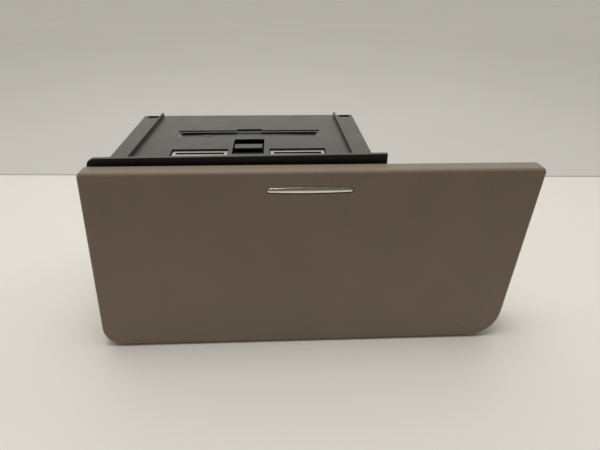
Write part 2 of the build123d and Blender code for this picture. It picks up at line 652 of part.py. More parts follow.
    # Bosses for the rear cover's screws.
    for x, z in COVER_SCREW_PLACES:
        side = -1 if x < HOUSING_CENTRE_X else 1
        boss_front_y = COVER_FRONT_Y - COVER_BOSS_LENGTH
        block(
            (x, boss_front_y, z - COVER_BOSS_RADIUS),
            (HOUSING_CENTRE_X + side * INNER_HALF_WIDTH, COVER_FRONT_Y, z + COVER_BOSS_RADIUS),
        )
        rods([Plane(origin=(x, boss_front_y, z), z_dir=REARWARD)], COVER_BOSS_RADIUS, COVER_BOSS_LENGTH)
    cover_holes = planes_at([(x, COVER_FRONT_Y, z) for x, z in COVER_SCREW_PLACES], REARWARD)
    rods(cover_holes, SCREW_RADIUS + SCREW_CLEARANCE, -COVER_HOLE_DEPTH, Mode.SUBTRACT)
    # Holes for the guide rails' screws.
    for side in (-1, 1):
        side_x = HOUSING_CENTRE_X + side * HOUSING_HALF_WIDTH
        holes = planes_at([(side_x, y, RUNNER_Z) for y in RAIL_SCREW_Y], (-side, 0, 0))
        rods(holes, SCREW_RADIUS + SCREW_CLEARANCE, WALL, Mode.SUBTRACT)
    # Blind holes in the floor.
    floor_holes = planes_at([(x, y, WALL) for x, y in DAMPER_SCREWS + BRACKET_SCREWS + LATCH_SCREWS], UP)
    rods(floor_holes, SMALL_SCREW_RADIUS + SCREW_CLEARANCE, BLIND_HOLE_FLOOR - WALL, Mode.SUBTRACT)
    for side in (-1, 1):
        peg_x = HOUSING_CENTRE_X + side * SKIRT_HALF
        peg_holes = planes_at([(peg_x, y, WALL) for y in GLIDE_PEG_Y], UP)
        rods(peg_holes, GLIDE_PEG_RADIUS + SCREW_CLEARANCE, BLIND_HOLE_FLOOR - WALL, Mode.SUBTRACT)
    # Rivet hole in the pocket's floor.
    rivet_hole = Plane(origin=(RIVET_X, SLOT_MIDDLE_Y, SLOT_FLOOR_Z), z_dir=UP)
    rods([rivet_hole], RIVET_RADIUS + SCREW_CLEARANCE, -SLOT_FLOOR_THICKNESS, Mode.SUBTRACT)
housing_shell.part.label = "housing_shell"
export_step(housing_shell.part, "parts/housing_shell.step")

with BuildPart() as rear_cover:
    cover_half_width = INNER_HALF_WIDTH - COVER_EDGE_GAP
    block(
        (HOUSING_CENTRE_X - cover_half_width, COVER_FRONT_Y, WALL + COVER_EDGE_GAP),
        (HOUSING_CENTRE_X + cover_half_width, COVER_REAR_Y, DECK_UNDER_Z - COVER_EDGE_GAP),
    )
    # Upper corners cut away under the deck's corner holes.
    for side in (-1, 1):
        block(
            (HOUSING_CENTRE_X + side * INNER_HALF_WIDTH, COVER_FRONT_Y, COVER_CUTAWAY_Z),
            (HOUSING_CENTRE_X + side * (INNER_HALF_WIDTH - COVER_CUTAWAY_WIDTH), COVER_REAR_Y, DECK_UNDER_Z),
            mode=Mode.SUBTRACT,
        )
    # Stiffening ribs on the outside.
    for rib in range(COVER_RIB_COUNT):
        rib_x = HOUSING_CENTRE_X + COVER_RIB_SPACING * (rib - (COVER_RIB_COUNT - 1) / 2)
        block(
            (rib_x - COVER_RIB_THICKNESS / 2, COVER_REAR_Y, COVER_RIB_BOTTOM_Z),
            (rib_x + COVER_RIB_THICKNESS / 2, COVER_REAR_Y + COVER_RIB_HEIGHT, COVER_RIB_TOP_Z),
        )
    for rib_z in COVER_CROSS_RIB_Z:
        block(
            (HOUSING_CENTRE_X - COVER_CROSS_RIB_HALF_LENGTH, COVER_REAR_Y, rib_z - COVER_RIB_THICKNESS / 2),
            (
                HOUSING_CENTRE_X + COVER_CROSS_RIB_HALF_LENGTH,
                COVER_REAR_Y + COVER_RIB_HEIGHT,
                rib_z + COVER_RIB_THICKNESS / 2,
            ),
        )
    rods(
        planes_at([(x, COVER_FRONT_Y, z) for x, z in COVER_SCREW_PLACES], REARWARD),
        SCREW_RADIUS + SCREW_CLEARANCE,
        COVER_THICKNESS,
        Mode.SUBTRACT,
    )
    rods(
        planes_at([(x, COVER_FRONT_Y, z) for x, z in BUFFER_PLACES], REARWARD),
        BUFFER_STEM_RADIUS + SCREW_CLEARANCE,
        COVER_THICKNESS,
        Mode.SUBTRACT,
    )
rear_cover.part.label = "rear_cover"
export_step(rear_cover.part, "parts/rear_cover.step")

with BuildPart() as rear_cover_screws:
    cover_planes = planes_at([(x, COVER_REAR_Y, z) for x, z in COVER_SCREW_PLACES], REARWARD)
    pan_screws(cover_planes, SCREW_RADIUS, SCREW_HEAD_RADIUS, COVER_SCREW_LENGTH)
rear_cover_screws.part.label = "rear_cover_screws"
export_step(rear_cover_screws.part, "parts/rear_cover_screws.step")

with BuildPart() as rear_buffers:
    buffer_planes = planes_at([(x, COVER_FRONT_Y, z) for x, z in BUFFER_PLACES], REARWARD)
    rods(buffer_planes, BUFFER_RADIUS, -BUFFER_LENGTH)
    fillet(rear_buffers.faces().group_by(Axis.Y)[0].edges(), BUFFER_EDGE_RADIUS)
    rods(buffer_planes, BUFFER_STEM_RADIUS, COVER_THICKNESS)
    barb_planes = [plane.offset(COVER_THICKNESS) for plane in buffer_planes]
    rods(barb_planes, BUFFER_BARB_RADIUS, BUFFER_BARB_LENGTH)
rear_buffers.part.label = "rear_buffers"
export_step(rear_buffers.part, "parts/rear_buffers.step")

for side_name, side in (("left", -1), ("right", 1)):
    wall_x = HOUSING_CENTRE_X + side * INNER_HALF_WIDTH
    web_x = HOUSING_CENTRE_X + side * RAIL_WEB_HALF
    lip_x = HOUSING_CENTRE_X + side * RAIL_INNER_HALF
    with BuildPart() as guide_rail:
        block(
            (wall_x, RAIL_FRONT_Y, RUNNER_Z - RAIL_HALF_HEIGHT),
            (lip_x, RAIL_REAR_Y, RUNNER_Z + RAIL_HALF_HEIGHT),
        )
        block(
            (web_x, RAIL_FRONT_Y + RAIL_CAP_LENGTH, RUNNER_Z - RAIL_HALF_OPENING),
            (lip_x, RAIL_REAR_Y, RUNNER_Z + RAIL_HALF_OPENING),
            mode=Mode.SUBTRACT,
        )
        rail_holes = planes_at([(wall_x, y, RUNNER_Z) for y in RAIL_SCREW_Y], (-side, 0, 0))
        rods(rail_holes, SCREW_RADIUS + SCREW_CLEARANCE, RAIL_WEB, Mode.SUBTRACT)
    guide_rail.part.label = f"{side_name}_guide_rail"
    export_step(guide_rail.part, f"parts/{side_name}_guide_rail.step")

    with BuildPart() as front_glide:
        skirt_x = HOUSING_CENTRE_X + side * SKIRT_HALF
        block(
            (skirt_x - GLIDE_HALF_WIDTH, GLIDE_FRONT_Y, WALL),
            (skirt_x + GLIDE_HALF_WIDTH, GLIDE_REAR_Y, BIN_SKIRT_Z - RUNNING_GAP),
        )
        fillet(front_glide.edges().filter_by(Axis.Z), GLIDE_CORNER_RADIUS)
        rods(planes_at([(skirt_x, y, WALL) for y in GLIDE_PEG_Y], UP), GLIDE_PEG_RADIUS, -GLIDE_PEG_LENGTH)
    front_glide.part.label = f"{side_name}_front_glide"
    export_step(front_glide.part, f"parts/{side_name}_front_glide.step")

    with BuildPart() as locator_socket:
        inner_x = WINDOW_X + side * WINDOW_INNER
        outer_x = WINDOW_X + side * WINDOW_OUTER
        block(
            (inner_x - side * SOCKET_FLANGE, WINDOW_FRONT_Y - SOCKET_FLANGE, SOCKET_BOTTOM_Z),
            (outer_x + side * SOCKET_FLANGE, WINDOW_REAR_Y + SOCKET_FLANGE, DECK_UNDER_Z),
        )
        block(
            (inner_x + side * SOCKET_SIDE_GAP, WINDOW_FRONT_Y + SOCKET_SIDE_GAP, DECK_UNDER_Z),
            (outer_x - side * SOCKET_SIDE_GAP, WINDOW_REAR_Y - SOCKET_SIDE_GAP, SOCKET_TOP_Z),
        )
        chamfer(locator_socket.faces().sort_by(Axis.Z)[-1].edges(), SOCKET_EDGE_CHAMFER)
        block(
            (inner_x + side * SOCKET_SLOT_INSET, SOCKET_SLOT_FRONT_Y, SOCKET_BOTTOM_Z),
            (outer_x - side * SOCKET_SLOT_INSET, SOCKET_SLOT_REAR_Y, SOCKET_TOP_Z),
            mode=Mode.SUBTRACT,
        )
    locator_socket.part.label = f"{side_name}_locator_socket"
    export_step(locator_socket.part, f"parts/{side_name}_locator_socket.step")

with BuildPart() as guide_rail_screws:
    for side in (-1, 1):
        outer_wall_x = HOUSING_CENTRE_X + side * HOUSING_HALF_WIDTH
        rail_planes = planes_at([(outer_wall_x, y, RUNNER_Z) for y in RAIL_SCREW_Y], (side, 0, 0))
        pan_screws(rail_planes, SCREW_RADIUS, SCREW_HEAD_RADIUS, WALL + RAIL_WEB - SCREW_TIP_ROOM)
guide_rail_screws.part.label = "guide_rail_screws"
export_step(guide_rail_screws.part, "parts/guide_rail_screws.step")

with BuildPart() as deck_leaf_spring:
    with BuildSketch(Plane.XZ.offset(-(SLOT_REAR_Y - LEAF_EDGE_GAP))):
        with BuildLine():
            lower_arch = ThreePointArc(
                (SLOT_X - LEAF_HALF_LENGTH, SLOT_FLOOR_Z),
                (SLOT_X, SLOT_FLOOR_Z + LEAF_RISE),
                (SLOT_X + LEAF_HALF_LENGTH, SLOT_FLOOR_Z),
            )
            upper_arch = ThreePointArc(
                (SLOT_X - LEAF_HALF_LENGTH, SLOT_FLOOR_Z + LEAF_THICKNESS),
                (SLOT_X, SLOT_FLOOR_Z + LEAF_RISE + LEAF_THICKNESS),
                (SLOT_X + LEAF_HALF_LENGTH, SLOT_FLOOR_Z + LEAF_THICKNESS),
            )
            Line(lower_arch @ 0, upper_arch @ 0)
            Line(lower_arch @ 1, upper_arch @ 1)
        make_face()
    extrude(amount=SLOT_REAR_Y - SLOT_FRONT_Y - 2 * LEAF_EDGE_GAP)
    leaf_hole = Plane(origin=(RIVET_X, SLOT_MIDDLE_Y, SLOT_FLOOR_Z), z_dir=UP)
    rods([leaf_hole], RIVET_RADIUS + SCREW_CLEARANCE, SLOT_DEPTH, Mode.SUBTRACT)
    # Height of the arch's top where the rivet's head rests, at the side nearer the middle.
    head_side = RIVET_OFFSET_X + RIVET_HEAD_RADIUS
    rivet_seat_z = SLOT_FLOOR_Z + LEAF_THICKNESS + LEAF_RISE * (1 - (head_side / LEAF_HALF_LENGTH) ** 2)
deck_leaf_spring.part.label = "deck_leaf_spring"
export_step(deck_leaf_spring.part, "parts/deck_leaf_spring.step")

with BuildPart() as leaf_spring_rivet:
    rivet_seat = Plane(origin=(RIVET_X, SLOT_MIDDLE_Y, rivet_seat_z), z_dir=UP)
    rods([rivet_seat], RIVET_RADIUS, SLOT_FLOOR_Z - SLOT_FLOOR_THICKNESS - rivet_seat_z)
    rods([rivet_seat], RIVET_HEAD_RADIUS, RIVET_HEAD_HEIGHT)
    fillet(leaf_spring_rivet.faces().sort_by(Axis.Z)[-1].edges(), RIVET_HEAD_EDGE_RADIUS)
leaf_spring_rivet.part.label = "leaf_spring_rivet"
export_step(leaf_spring_rivet.part, "parts/leaf_spring_rivet.step")

# ---------------------------------------------------------------- damper

with BuildPart() as damper_body:
    with BuildSketch(Plane.XY.offset(WALL)):
        with Locations((DAMPER_X, DAMPER_Y)):
            SlotOverall(2 * DAMPER_EAR_HALF_LENGTH, DAMPER_EAR_WIDTH)
    extrude(amount=DAMPER_EAR_THICKNESS)
    rods([Plane(origin=(DAMPER_X, DAMPER_Y, WALL), z_dir=UP)], DAMPER_RADIUS, DAMPER_HEIGHT)
    fillet(damper_body.faces().sort_by(Axis.Z)[-1].edges(), DAMPER_EDGE_RADIUS)
    damper_top = Plane(origin=(DAMPER_X, DAMPER_Y, WALL + DAMPER_HEIGHT), z_dir=UP)
    rods([damper_top], PINION_SHAFT_RADIUS + AXLE_RUNNING_FIT, -DAMPER_BORE_DEPTH, Mode.SUBTRACT)
    rods(
        planes_at([(x, y, WALL) for x, y in DAMPER_SCREWS], UP),
        SMALL_SCREW_RADIUS + SCREW_CLEARANCE,
        DAMPER_EAR_THICKNESS,
        Mode.SUBTRACT,
    )
damper_body.part.label = "damper_body"
export_step(damper_body.part, "parts/damper_body.step")

with BuildPart() as damper_pinion:
    root_radius = PITCH_RADIUS - DEDENDUM * GEAR_MODULE
    tip_radius = PITCH_RADIUS + ADDENDUM * GEAR_MODULE
    with BuildSketch(Plane.XY.offset(PINION_BOTTOM_Z)):
        with Locations((DAMPER_X, DAMPER_Y)):
            Circle(root_radius)
            # The gap between two teeth faces the rack.
            with PolarLocations(0, PINION_TEETH, start_angle=180 / PINION_TEETH):
                pinion_tooth = tooth(
                    root_radius,
                    TOOTH_PITCH / 4 + PINION_ROOT_FLARE,
                    PITCH_RADIUS,
                    PITCH_HALF_THICKNESS,
                    tip_radius,
                    PINION_TIP_HALF_THICKNESS,
                )
                Polygon(*pinion_tooth, align=None)
    extrude(amount=PINION_TOP_Z - PINION_BOTTOM_Z)
    pinion_foot = Plane(origin=(DAMPER_X, DAMPER_Y, PINION_BOTTOM_Z), z_dir=UP)
    rods([pinion_foot], PINION_COLLAR_RADIUS, -PINION_COLLAR_LENGTH)
    rods([pinion_foot], PINION_SHAFT_RADIUS, -PINION_SHAFT_LENGTH)
damper_pinion.part.label = "damper_pinion"
export_step(damper_pinion.part, "parts/damper_pinion.step")

# ---------------------------------------------------------------- roll spring

with BuildPart() as bobbin_bracket:
    block(
        (BOBBIN_X - BRACKET_EAR_OUTER, BOBBIN_Y - BRACKET_FRONT_REACH, WALL),
        (BOBBIN_X + BRACKET_EAR_OUTER, BRACKET_REAR_Y, WALL + BRACKET_THICKNESS),
    )
    for side in (-1, 1):
        ear_left_x = BOBBIN_X + min(side * BRACKET_EAR_INNER, side * BRACKET_EAR_OUTER)
        with BuildSketch(Plane.YZ.offset(ear_left_x)):
            with Locations((BOBBIN_Y, (WALL + BOBBIN_Z) / 2)):
                Rectangle(BRACKET_EAR_WIDTH, BOBBIN_Z - WALL)
            with Locations((BOBBIN_Y, BOBBIN_Z)):
                Circle(BRACKET_EAR_WIDTH / 2)
        extrude(amount=BRACKET_EAR_THICKNESS)
    axle_plane = Plane(origin=(BOBBIN_X - BRACKET_EAR_OUTER, BOBBIN_Y, BOBBIN_Z), z_dir=RIGHTWARD)
    rods([axle_plane], AXLE_RADIUS + AXLE_RUNNING_FIT, 2 * BRACKET_EAR_OUTER, Mode.SUBTRACT)
    rods(
        planes_at([(x, y, WALL) for x, y in BRACKET_SCREWS], UP),
        SMALL_SCREW_RADIUS + SCREW_CLEARANCE,
        BRACKET_THICKNESS,
        Mode.SUBTRACT,
    )
bobbin_bracket.part.label = "bobbin_bracket"
export_step(bobbin_bracket.part, "parts/bobbin_bracket.step")

with BuildPart() as bobbin_axle:
    rods([axle_plane], AXLE_RADIUS, 2 * BRACKET_EAR_OUTER + AXLE_OVERRUN)
    rods([axle_plane], AXLE_HEAD_RADIUS, -AXLE_HEAD_LENGTH)
bobbin_axle.part.label = "bobbin_axle"
export_step(bobbin_axle.part, "parts/bobbin_axle.step")

with BuildPart() as spring_bobbin:
    bobbin_start = Plane(origin=(BOBBIN_X - BOBBIN_HALF_WIDTH, BOBBIN_Y, BOBBIN_Z), z_dir=RIGHTWARD)
    rods([bobbin_start], BOBBIN_HUB_RADIUS, 2 * BOBBIN_HALF_WIDTH)
    rods([bobbin_start], BOBBIN_FLANGE_RADIUS, -BOBBIN_FLANGE_THICKNESS)
    rods([bobbin_start.offset(2 * BOBBIN_HALF_WIDTH)], BOBBIN_FLANGE_RADIUS, BOBBIN_FLANGE_THICKNESS)
    bore_start = bobbin_start.offset(-BOBBIN_FLANGE_THICKNESS)
    bore_length = 2 * (BOBBIN_HALF_WIDTH + BOBBIN_FLANGE_THICKNESS)
    rods([bore_start], AXLE_RADIUS + AXLE_RUNNING_FIT, bore_length, Mode.SUBTRACT)
spring_bobbin.part.label = "spring_bobbin"
export_step(spring_bobbin.part, "parts/spring_bobbin.step")

with BuildPart() as roll_spring:
    coil_start = Plane(origin=(BOBBIN_X - STRIP_WIDTH / 2, BOBBIN_Y, BOBBIN_Z), z_dir=RIGHTWARD)
    rods([coil_start], COIL_OUTER_RADIUS, STRIP_WIDTH)
    rods([coil_start], COIL_INNER_RADIUS, STRIP_WIDTH, Mode.SUBTRACT)
    block(
        (BOBBIN_X - STRIP_WIDTH / 2, BOBBIN_Y, STRIP_TOP_Z - STRIP_THICKNESS),
        (BOBBIN_X + STRIP_WIDTH / 2, ANCHOR_Y + STRIP_END_LENGTH, STRIP_TOP_Z),
    )
    strip_hole = Plane(origin=(BOBBIN_X, ANCHOR_Y, STRIP_TOP_Z), z_dir=UP)
    rods([strip_hole], STRIP_HOLE_RADIUS, -STRIP_THICKNESS, Mode.SUBTRACT)
roll_spring.part.label = "roll_spring"
export_step(roll_spring.part, "parts/roll_spring.step")

# ---------------------------------------------------------------- latch

with BuildPart() as latch_bracket:
    block(
        (LATCH_X - LATCH_BASE_HALF_WIDTH, WIRE_PIVOT_Y - LATCH_BASE_HALF_LENGTH, WALL),
        (LATCH_X + LATCH_BASE_HALF_WIDTH, WIRE_PIVOT_Y + LATCH_BASE_HALF_LENGTH, WALL + LATCH_BASE_THICKNESS),
    )
    block(
        (LATCH_X - LATCH_POST_HALF_WIDTH, WIRE_PIVOT_Y - LATCH_POST_HALF_WIDTH, WALL),
        (LATCH_X + LATCH_POST_HALF_WIDTH, WIRE_PIVOT_Y + LATCH_POST_HALF_WIDTH, WALL + LATCH_POST_HEIGHT),
    )
    fillet(latch_bracket.edges().filter_by(Axis.Z), LATCH_CORNER_RADIUS)
    pivot_plane = Plane(origin=(LATCH_X, WIRE_PIVOT_Y, WALL + LATCH_POST_HEIGHT), z_dir=UP)
    rods([pivot_plane], WIRE_RADIUS + SCREW_CLEARANCE, -LATCH_BORE_DEPTH, Mode.SUBTRACT)
    rods(
        planes_at([(x, y, WALL) for x, y in LATCH_SCREWS], UP),
        SMALL_SCREW_RADIUS + SCREW_CLEARANCE,
        LATCH_BASE_THICKNESS,
        Mode.SUBTRACT,
    )
latch_bracket.part.label = "latch_bracket"
export_step(latch_bracket.part, "parts/latch_bracket.step")

with BuildPart() as latch_wire:
    with BuildLine() as wire_path:
        FilletPolyline(
            (LATCH_X, WIRE_PIVOT_Y, WIRE_FOOT_Z),
            (LATCH_X, WIRE_PIVOT_Y, WIRE_ARM_Z),
            (LATCH_X, WIRE_TIP_Y, WIRE_ARM_Z),
            (LATCH_X, WIRE_TIP_Y, WIRE_TIP_Z),
            radius=WIRE_BEND_RADIUS,
        )
    with BuildSketch(Plane.XY.offset(WIRE_FOOT_Z)):
        with Locations((LATCH_X, WIRE_PIVOT_Y)):
            Circle(WIRE_RADIUS)
    sweep(path=wire_path.line)
latch_wire.part.label = "latch_wire"
export_step(latch_wire.part, "parts/latch_wire.step")

with BuildPart() as floor_bracket_screws:
    for places, grip, head_radius in (
        (DAMPER_SCREWS, DAMPER_EAR_THICKNESS, SMALL_SCREW_NARROW_HEAD_RADIUS),
        (BRACKET_SCREWS, BRACKET_THICKNESS, SMALL_SCREW_HEAD_RADIUS),
        (LATCH_SCREWS, LATCH_BASE_THICKNESS, SMALL_SCREW_HEAD_RADIUS),
    ):
        screw_planes = planes_at([(x, y, WALL + grip) for x, y in places], UP)
        pan_screws(screw_planes, SMALL_SCREW_RADIUS, head_radius, grip + BRACKET_SCREW_GRIP)
floor_bracket_screws.part.label = "floor_bracket_screws"
export_step(floor_bracket_screws.part, "parts/floor_bracket_screws.step")

with BuildPart() as cam_plate:
    block(
        (LATCH_X - CAM_HALF_WIDTH, CAM_FRONT_Y, CAM_BOTTOM_Z),
        (LATCH_X + CAM_HALF_WIDTH, CAM_REAR_Y, BIN_FLOOR_Z),
    )
    fillet(cam_plate.edges().filter_by(Axis.Z), CAM_CORNER_RADIUS)
    # Groove around the heart, open at the rear, with a guide tooth in front of the heart's dent.
    with BuildSketch(Plane.XY.offset(CAM_BOTTOM_Z)):
        with Locations(*HEART_LOBES):
            Circle(HEART_LOBE_RADIUS + GROOVE_WIDTH)
        with Locations((LATCH_X, HEART_TIP_Y)):
            Circle(GROOVE_WIDTH)
        make_hull()
        with Locations((LATCH_X, (HEART_TIP_Y + CAM_REAR_Y) / 2)):
            Rectangle(2 * GROOVE_WIDTH, CAM_REAR_Y - HEART_TIP_Y)
        with Locations(*HEART_LOBES):
            Circle(HEART_LOBE_RADIUS, mode=Mode.SUBTRACT)
        Polygon(
            (LATCH_X - HEART_LOBE_X - HEART_LOBE_RADIUS, HEART_LOBE_Y),
            (LATCH_X + HEART_LOBE_X + HEART_LOBE_RADIUS, HEART_LOBE_Y),
            (LATCH_X, HEART_TIP_Y),
            align=None,
            mode=Mode.SUBTRACT,
        )
        guide_tooth_corners = [(LATCH_X + x, y) for x, y in GUIDE_TOOTH]
        Polygon(*guide_tooth_corners, align=None, mode=Mode.SUBTRACT)
    extrude(amount=CAM_GROOVE_DEPTH, mode=Mode.SUBTRACT)
    cam_holes = planes_at([(x, y, BIN_FLOOR_Z) for x, y in CAM_SCREWS], UP)
    rods(cam_holes, SMALL_SCREW_RADIUS + SCREW_CLEARANCE, -FLOOR_HOLE_DEPTH, Mode.SUBTRACT)
cam_plate.part.label = "cam_plate"
export_step(cam_plate.part, "parts/cam_plate.step")

# ---------------------------------------------------------------- drawer

with BuildPart() as drawer_bin:
    block(
        (HOUSING_CENTRE_X - BIN_HALF_WIDTH, FASCIA_REAR_Y, BIN_SKIRT_Z),
        (HOUSING_CENTRE_X + BIN_HALF_WIDTH, BIN_REAR_Y, BIN_TOP_Z),
    )
    # Space under the floor, between the side skirts.
    block(
        (HOUSING_CENTRE_X - BIN_INNER_HALF_WIDTH, FASCIA_REAR_Y, BIN_SKIRT_Z),
        (HOUSING_CENTRE_X + BIN_INNER_HALF_WIDTH, BIN_REAR_Y, BIN_FLOOR_Z),
        mode=Mode.SUBTRACT,
    )
    # Storage space.
    bin_inner_length = BIN_INNER_REAR_Y - BIN_INNER_FRONT_Y
    with BuildSketch(Plane.XY.offset(BIN_INNER_FLOOR_Z)):
        with Locations((HOUSING_CENTRE_X, BIN_INNER_MIDDLE_Y)):
            RectangleRounded(2 * BIN_INNER_HALF_WIDTH, bin_inner_length, BIN_CORNER_RADIUS)
    extrude(amount=BIN_TOP_Z - BIN_INNER_FLOOR_Z, mode=Mode.SUBTRACT)
    # Holes for the carrier's, the runners' and the floor's screws.
    front_holes = planes_at([(x, FASCIA_REAR_Y, z) for x, z in BIN_SCREW_PLACES], REARWARD)
    rods(front_holes, SCREW_RADIUS + SCREW_CLEARANCE, BIN_FRONT_WALL, Mode.SUBTRACT)
    for side in (-1, 1):
        bin_side_x = HOUSING_CENTRE_X + side * BIN_HALF_WIDTH
        side_hole = Plane(origin=(bin_side_x, RUNNER_Y, RUNNER_Z), z_dir=(-side, 0, 0))
        rods([side_hole], SMALL_SCREW_RADIUS + SCREW_CLEARANCE, BIN_WALL, Mode.SUBTRACT)
    floor_planes = planes_at([(x, y, BIN_INNER_FLOOR_Z) for x, y in FLOOR_SCREWS], UP)
    countersunk_holes(floor_planes, SMALL_SCREW_RADIUS, SMALL_SCREW_HEAD_RADIUS, BIN_FLOOR)
drawer_bin.part.label = "drawer_bin"
export_step(drawer_bin.part, "parts/drawer_bin.step")

with BuildPart() as bin_floor_screws:
    countersunk_screws(floor_planes, SMALL_SCREW_RADIUS, SMALL_SCREW_HEAD_RADIUS, FLOOR_SCREW_LENGTH)
bin_floor_screws.part.label = "bin_floor_screws"
export_step(bin_floor_screws.part, "parts/bin_floor_screws.step")

with BuildPart() as bin_mat:
    with BuildSketch(Plane.XY.offset(BIN_INNER_FLOOR_Z)):
        with Locations((HOUSING_CENTRE_X, BIN_INNER_MIDDLE_Y)):
            RectangleRounded(
                2 * (BIN_INNER_HALF_WIDTH - MAT_EDGE_GAP),
                bin_inner_length - 2 * MAT_EDGE_GAP,
                BIN_CORNER_RADIUS - MAT_EDGE_GAP,
            )
    extrude(amount=MAT_THICKNESS)
bin_mat.part.label = "bin_mat"
export_step(bin_mat.part, "parts/bin_mat.step")

for side_name, side in (("left", -1), ("right", 1)):
    bin_side_x = HOUSING_CENTRE_X + side * BIN_HALF_WIDTH
    runner_outer_x = HOUSING_CENTRE_X + side * (RAIL_WEB_HALF - RUNNING_GAP)
    with BuildPart() as runner:
        block(
            (bin_side_x, RUNNER_FRONT_Y, RUNNER_Z - RUNNER_HEIGHT / 2),
            (runner_outer_x, RUNNER_REAR_Y, RUNNER_Z + RUNNER_HEIGHT / 2),
        )
        fillet(runner.edges().filter_by(Axis.X), RUNNER_CORNER_RADIUS)
        runner_hole = Plane(origin=(bin_side_x, RUNNER_Y, RUNNER_Z), z_dir=(side, 0, 0))
        hole_depth = RUNNER_SCREW_LENGTH + SCREW_TIP_ROOM
        rods([runner_hole], SMALL_SCREW_RADIUS + SCREW_CLEARANCE, hole_depth, Mode.SUBTRACT)
    runner.part.label = f"{side_name}_runner"
    export_step(runner.part, f"parts/{side_name}_runner.step")

with BuildPart() as runner_screws:
    for side in (-1, 1):
        inner_x = HOUSING_CENTRE_X + side * BIN_INNER_HALF_WIDTH
        runner_planes = planes_at([(inner_x, RUNNER_Y, RUNNER_Z)], (-side, 0, 0))
        pan_screws(runner_planes, SMALL_SCREW_RADIUS, SMALL_SCREW_HEAD_RADIUS, BIN_WALL + RUNNER_SCREW_LENGTH)
runner_screws.part.label = "runner_screws"
export_step(runner_screws.part, "parts/runner_screws.step")

with BuildPart() as gear_rack:
    block((RACK_ROOT_X - RACK_BACKING, RACK_FRONT_Y, RACK_BOTTOM_Z), (RACK_ROOT_X, RACK_REAR_Y, BIN_FLOOR_Z))
    flank_slope = tan(radians(PRESSURE_ANGLE))
    rack_tooth = tooth(
        RACK_ROOT_X,
        PITCH_HALF_THICKNESS + (RACK_PITCH_X - RACK_ROOT_X) * flank_slope,
        RACK_PITCH_X,
        PITCH_HALF_THICKNESS,
        RACK_TIP_X,
        PITCH_HALF_THICKNESS - (RACK_TIP_X - RACK_PITCH_X) * flank_slope,
    )
    first_tooth = int((RACK_FRONT_Y + RACK_END_LAND - DAMPER_Y) / TOOTH_PITCH)
    last_tooth = int((RACK_REAR_Y - RACK_END_LAND - DAMPER_Y) / TOOTH_PITCH)
    with BuildSketch(Plane.XY.offset(RACK_BOTTOM_Z)):
        for number in range(first_tooth, last_tooth + 1):
            with Locations((0, DAMPER_Y + number * TOOTH_PITCH)):
                Polygon(*rack_tooth, align=None)
    extrude(amount=BIN_FLOOR_Z - RACK_BOTTOM_Z)
    rack_holes = planes_at([(x, y, BIN_FLOOR_Z) for x, y in RACK_SCREWS], UP)
    rods(rack_holes, SMALL_SCREW_RADIUS + SCREW_CLEARANCE, -FLOOR_HOLE_DEPTH, Mode.SUBTRACT)
gear_rack.part.label = "gear_rack"
export_step(gear_rack.part, "parts/gear_rack.step")

with BuildPart() as spring_anchor:
    block(
        (BOBBIN_X - ANCHOR_HALF_WIDTH, ANCHOR_Y - ANCHOR_HALF_LENGTH, ANCHOR_BOTTOM_Z),
        (BOBBIN_X + ANCHOR_HALF_WIDTH, ANCHOR_Y + ANCHOR_HALF_LENGTH, BIN_FLOOR_Z),
    )
    anchor_peg = Plane(origin=(BOBBIN_X, ANCHOR_Y, ANCHOR_BOTTOM_Z), z_dir=UP)
    rods([anchor_peg], ANCHOR_PEG_RADIUS, -ANCHOR_PEG_LENGTH)
    anchor_holes = planes_at([(x, y, BIN_FLOOR_Z) for x, y in ANCHOR_SCREWS], UP)
    rods(anchor_holes, SMALL_SCREW_RADIUS + SCREW_CLEARANCE, -FLOOR_HOLE_DEPTH, Mode.SUBTRACT)
spring_anchor.part.label = "spring_anchor"
export_step(spring_anchor.part, "parts/spring_anchor.step")

# ---------------------------------------------------------------- fascia

# The fascia's hollow, with solid columns left in it for the screw bosses.
with BuildPart() as fascia_hollow:
    with BuildSketch(Plane.XZ.offset(-FASCIA_REAR_Y)):
        add(fascia_outline(FASCIA_WALL))
        with Locations(*FASCIA_SCREW_PLACES):
            Circle(FASCIA_COLUMN_RADIUS, mode=Mode.SUBTRACT)
    extrude(amount=FASCIA_DEPTH_LIMIT)
    split(bisect_by=FACE_PLANE.offset(-FASCIA_WALL), keep=Keep.BOTTOM)

with BuildPart() as fascia_panel:
    with BuildSketch(Plane.XZ.offset(-FASCIA_REAR_Y)):
        add(fascia_outline(0))
    extrude(amount=FASCIA_DEPTH_LIMIT)
    split(bisect_by=FACE_PLANE, keep=Keep.BOTTOM)
    front_face = fascia_panel.faces().sort_by(Axis.Y)[0]
    fillet(front_face.edges(), FASCIA_EDGE_RADIUS)
    add(fascia_hollow.part, mode=Mode.SUBTRACT)
    # Seat for the carrier plate.
    with BuildSketch(Plane.XZ.offset(-FASCIA_REAR_Y)):
        add(fascia_outline(FASCIA_WALL))
    extrude(amount=FASCIA_WALL, mode=Mode.SUBTRACT)
    boss_planes = planes_at([(x, CARRIER_FRONT_Y, z) for x, z in FASCIA_SCREW_PLACES], FORWARD)
    rods(boss_planes, SCREW_RADIUS + SCREW_CLEARANCE, FASCIA_HOLE_DEPTH, Mode.SUBTRACT)
    # Shallow pocket and stud holes for the trim strip.
    with BuildSketch(TRIM_PLANE):
        add(trim_outline(TRIM_POCKET_MARGIN))
    extrude(amount=-TRIM_POCKET_DEPTH, mode=Mode.SUBTRACT)
    with BuildSketch(TRIM_PLANE):
        with GridLocations(TRIM_STUD_SPACING, 0, 2, 1):
            Circle(TRIM_STUD_RADIUS + SCREW_CLEARANCE)
    extrude(amount=-TRIM_POCKET_DEPTH - FASCIA_WALL, mode=Mode.SUBTRACT)
fascia_panel.part.label = "fascia_panel"
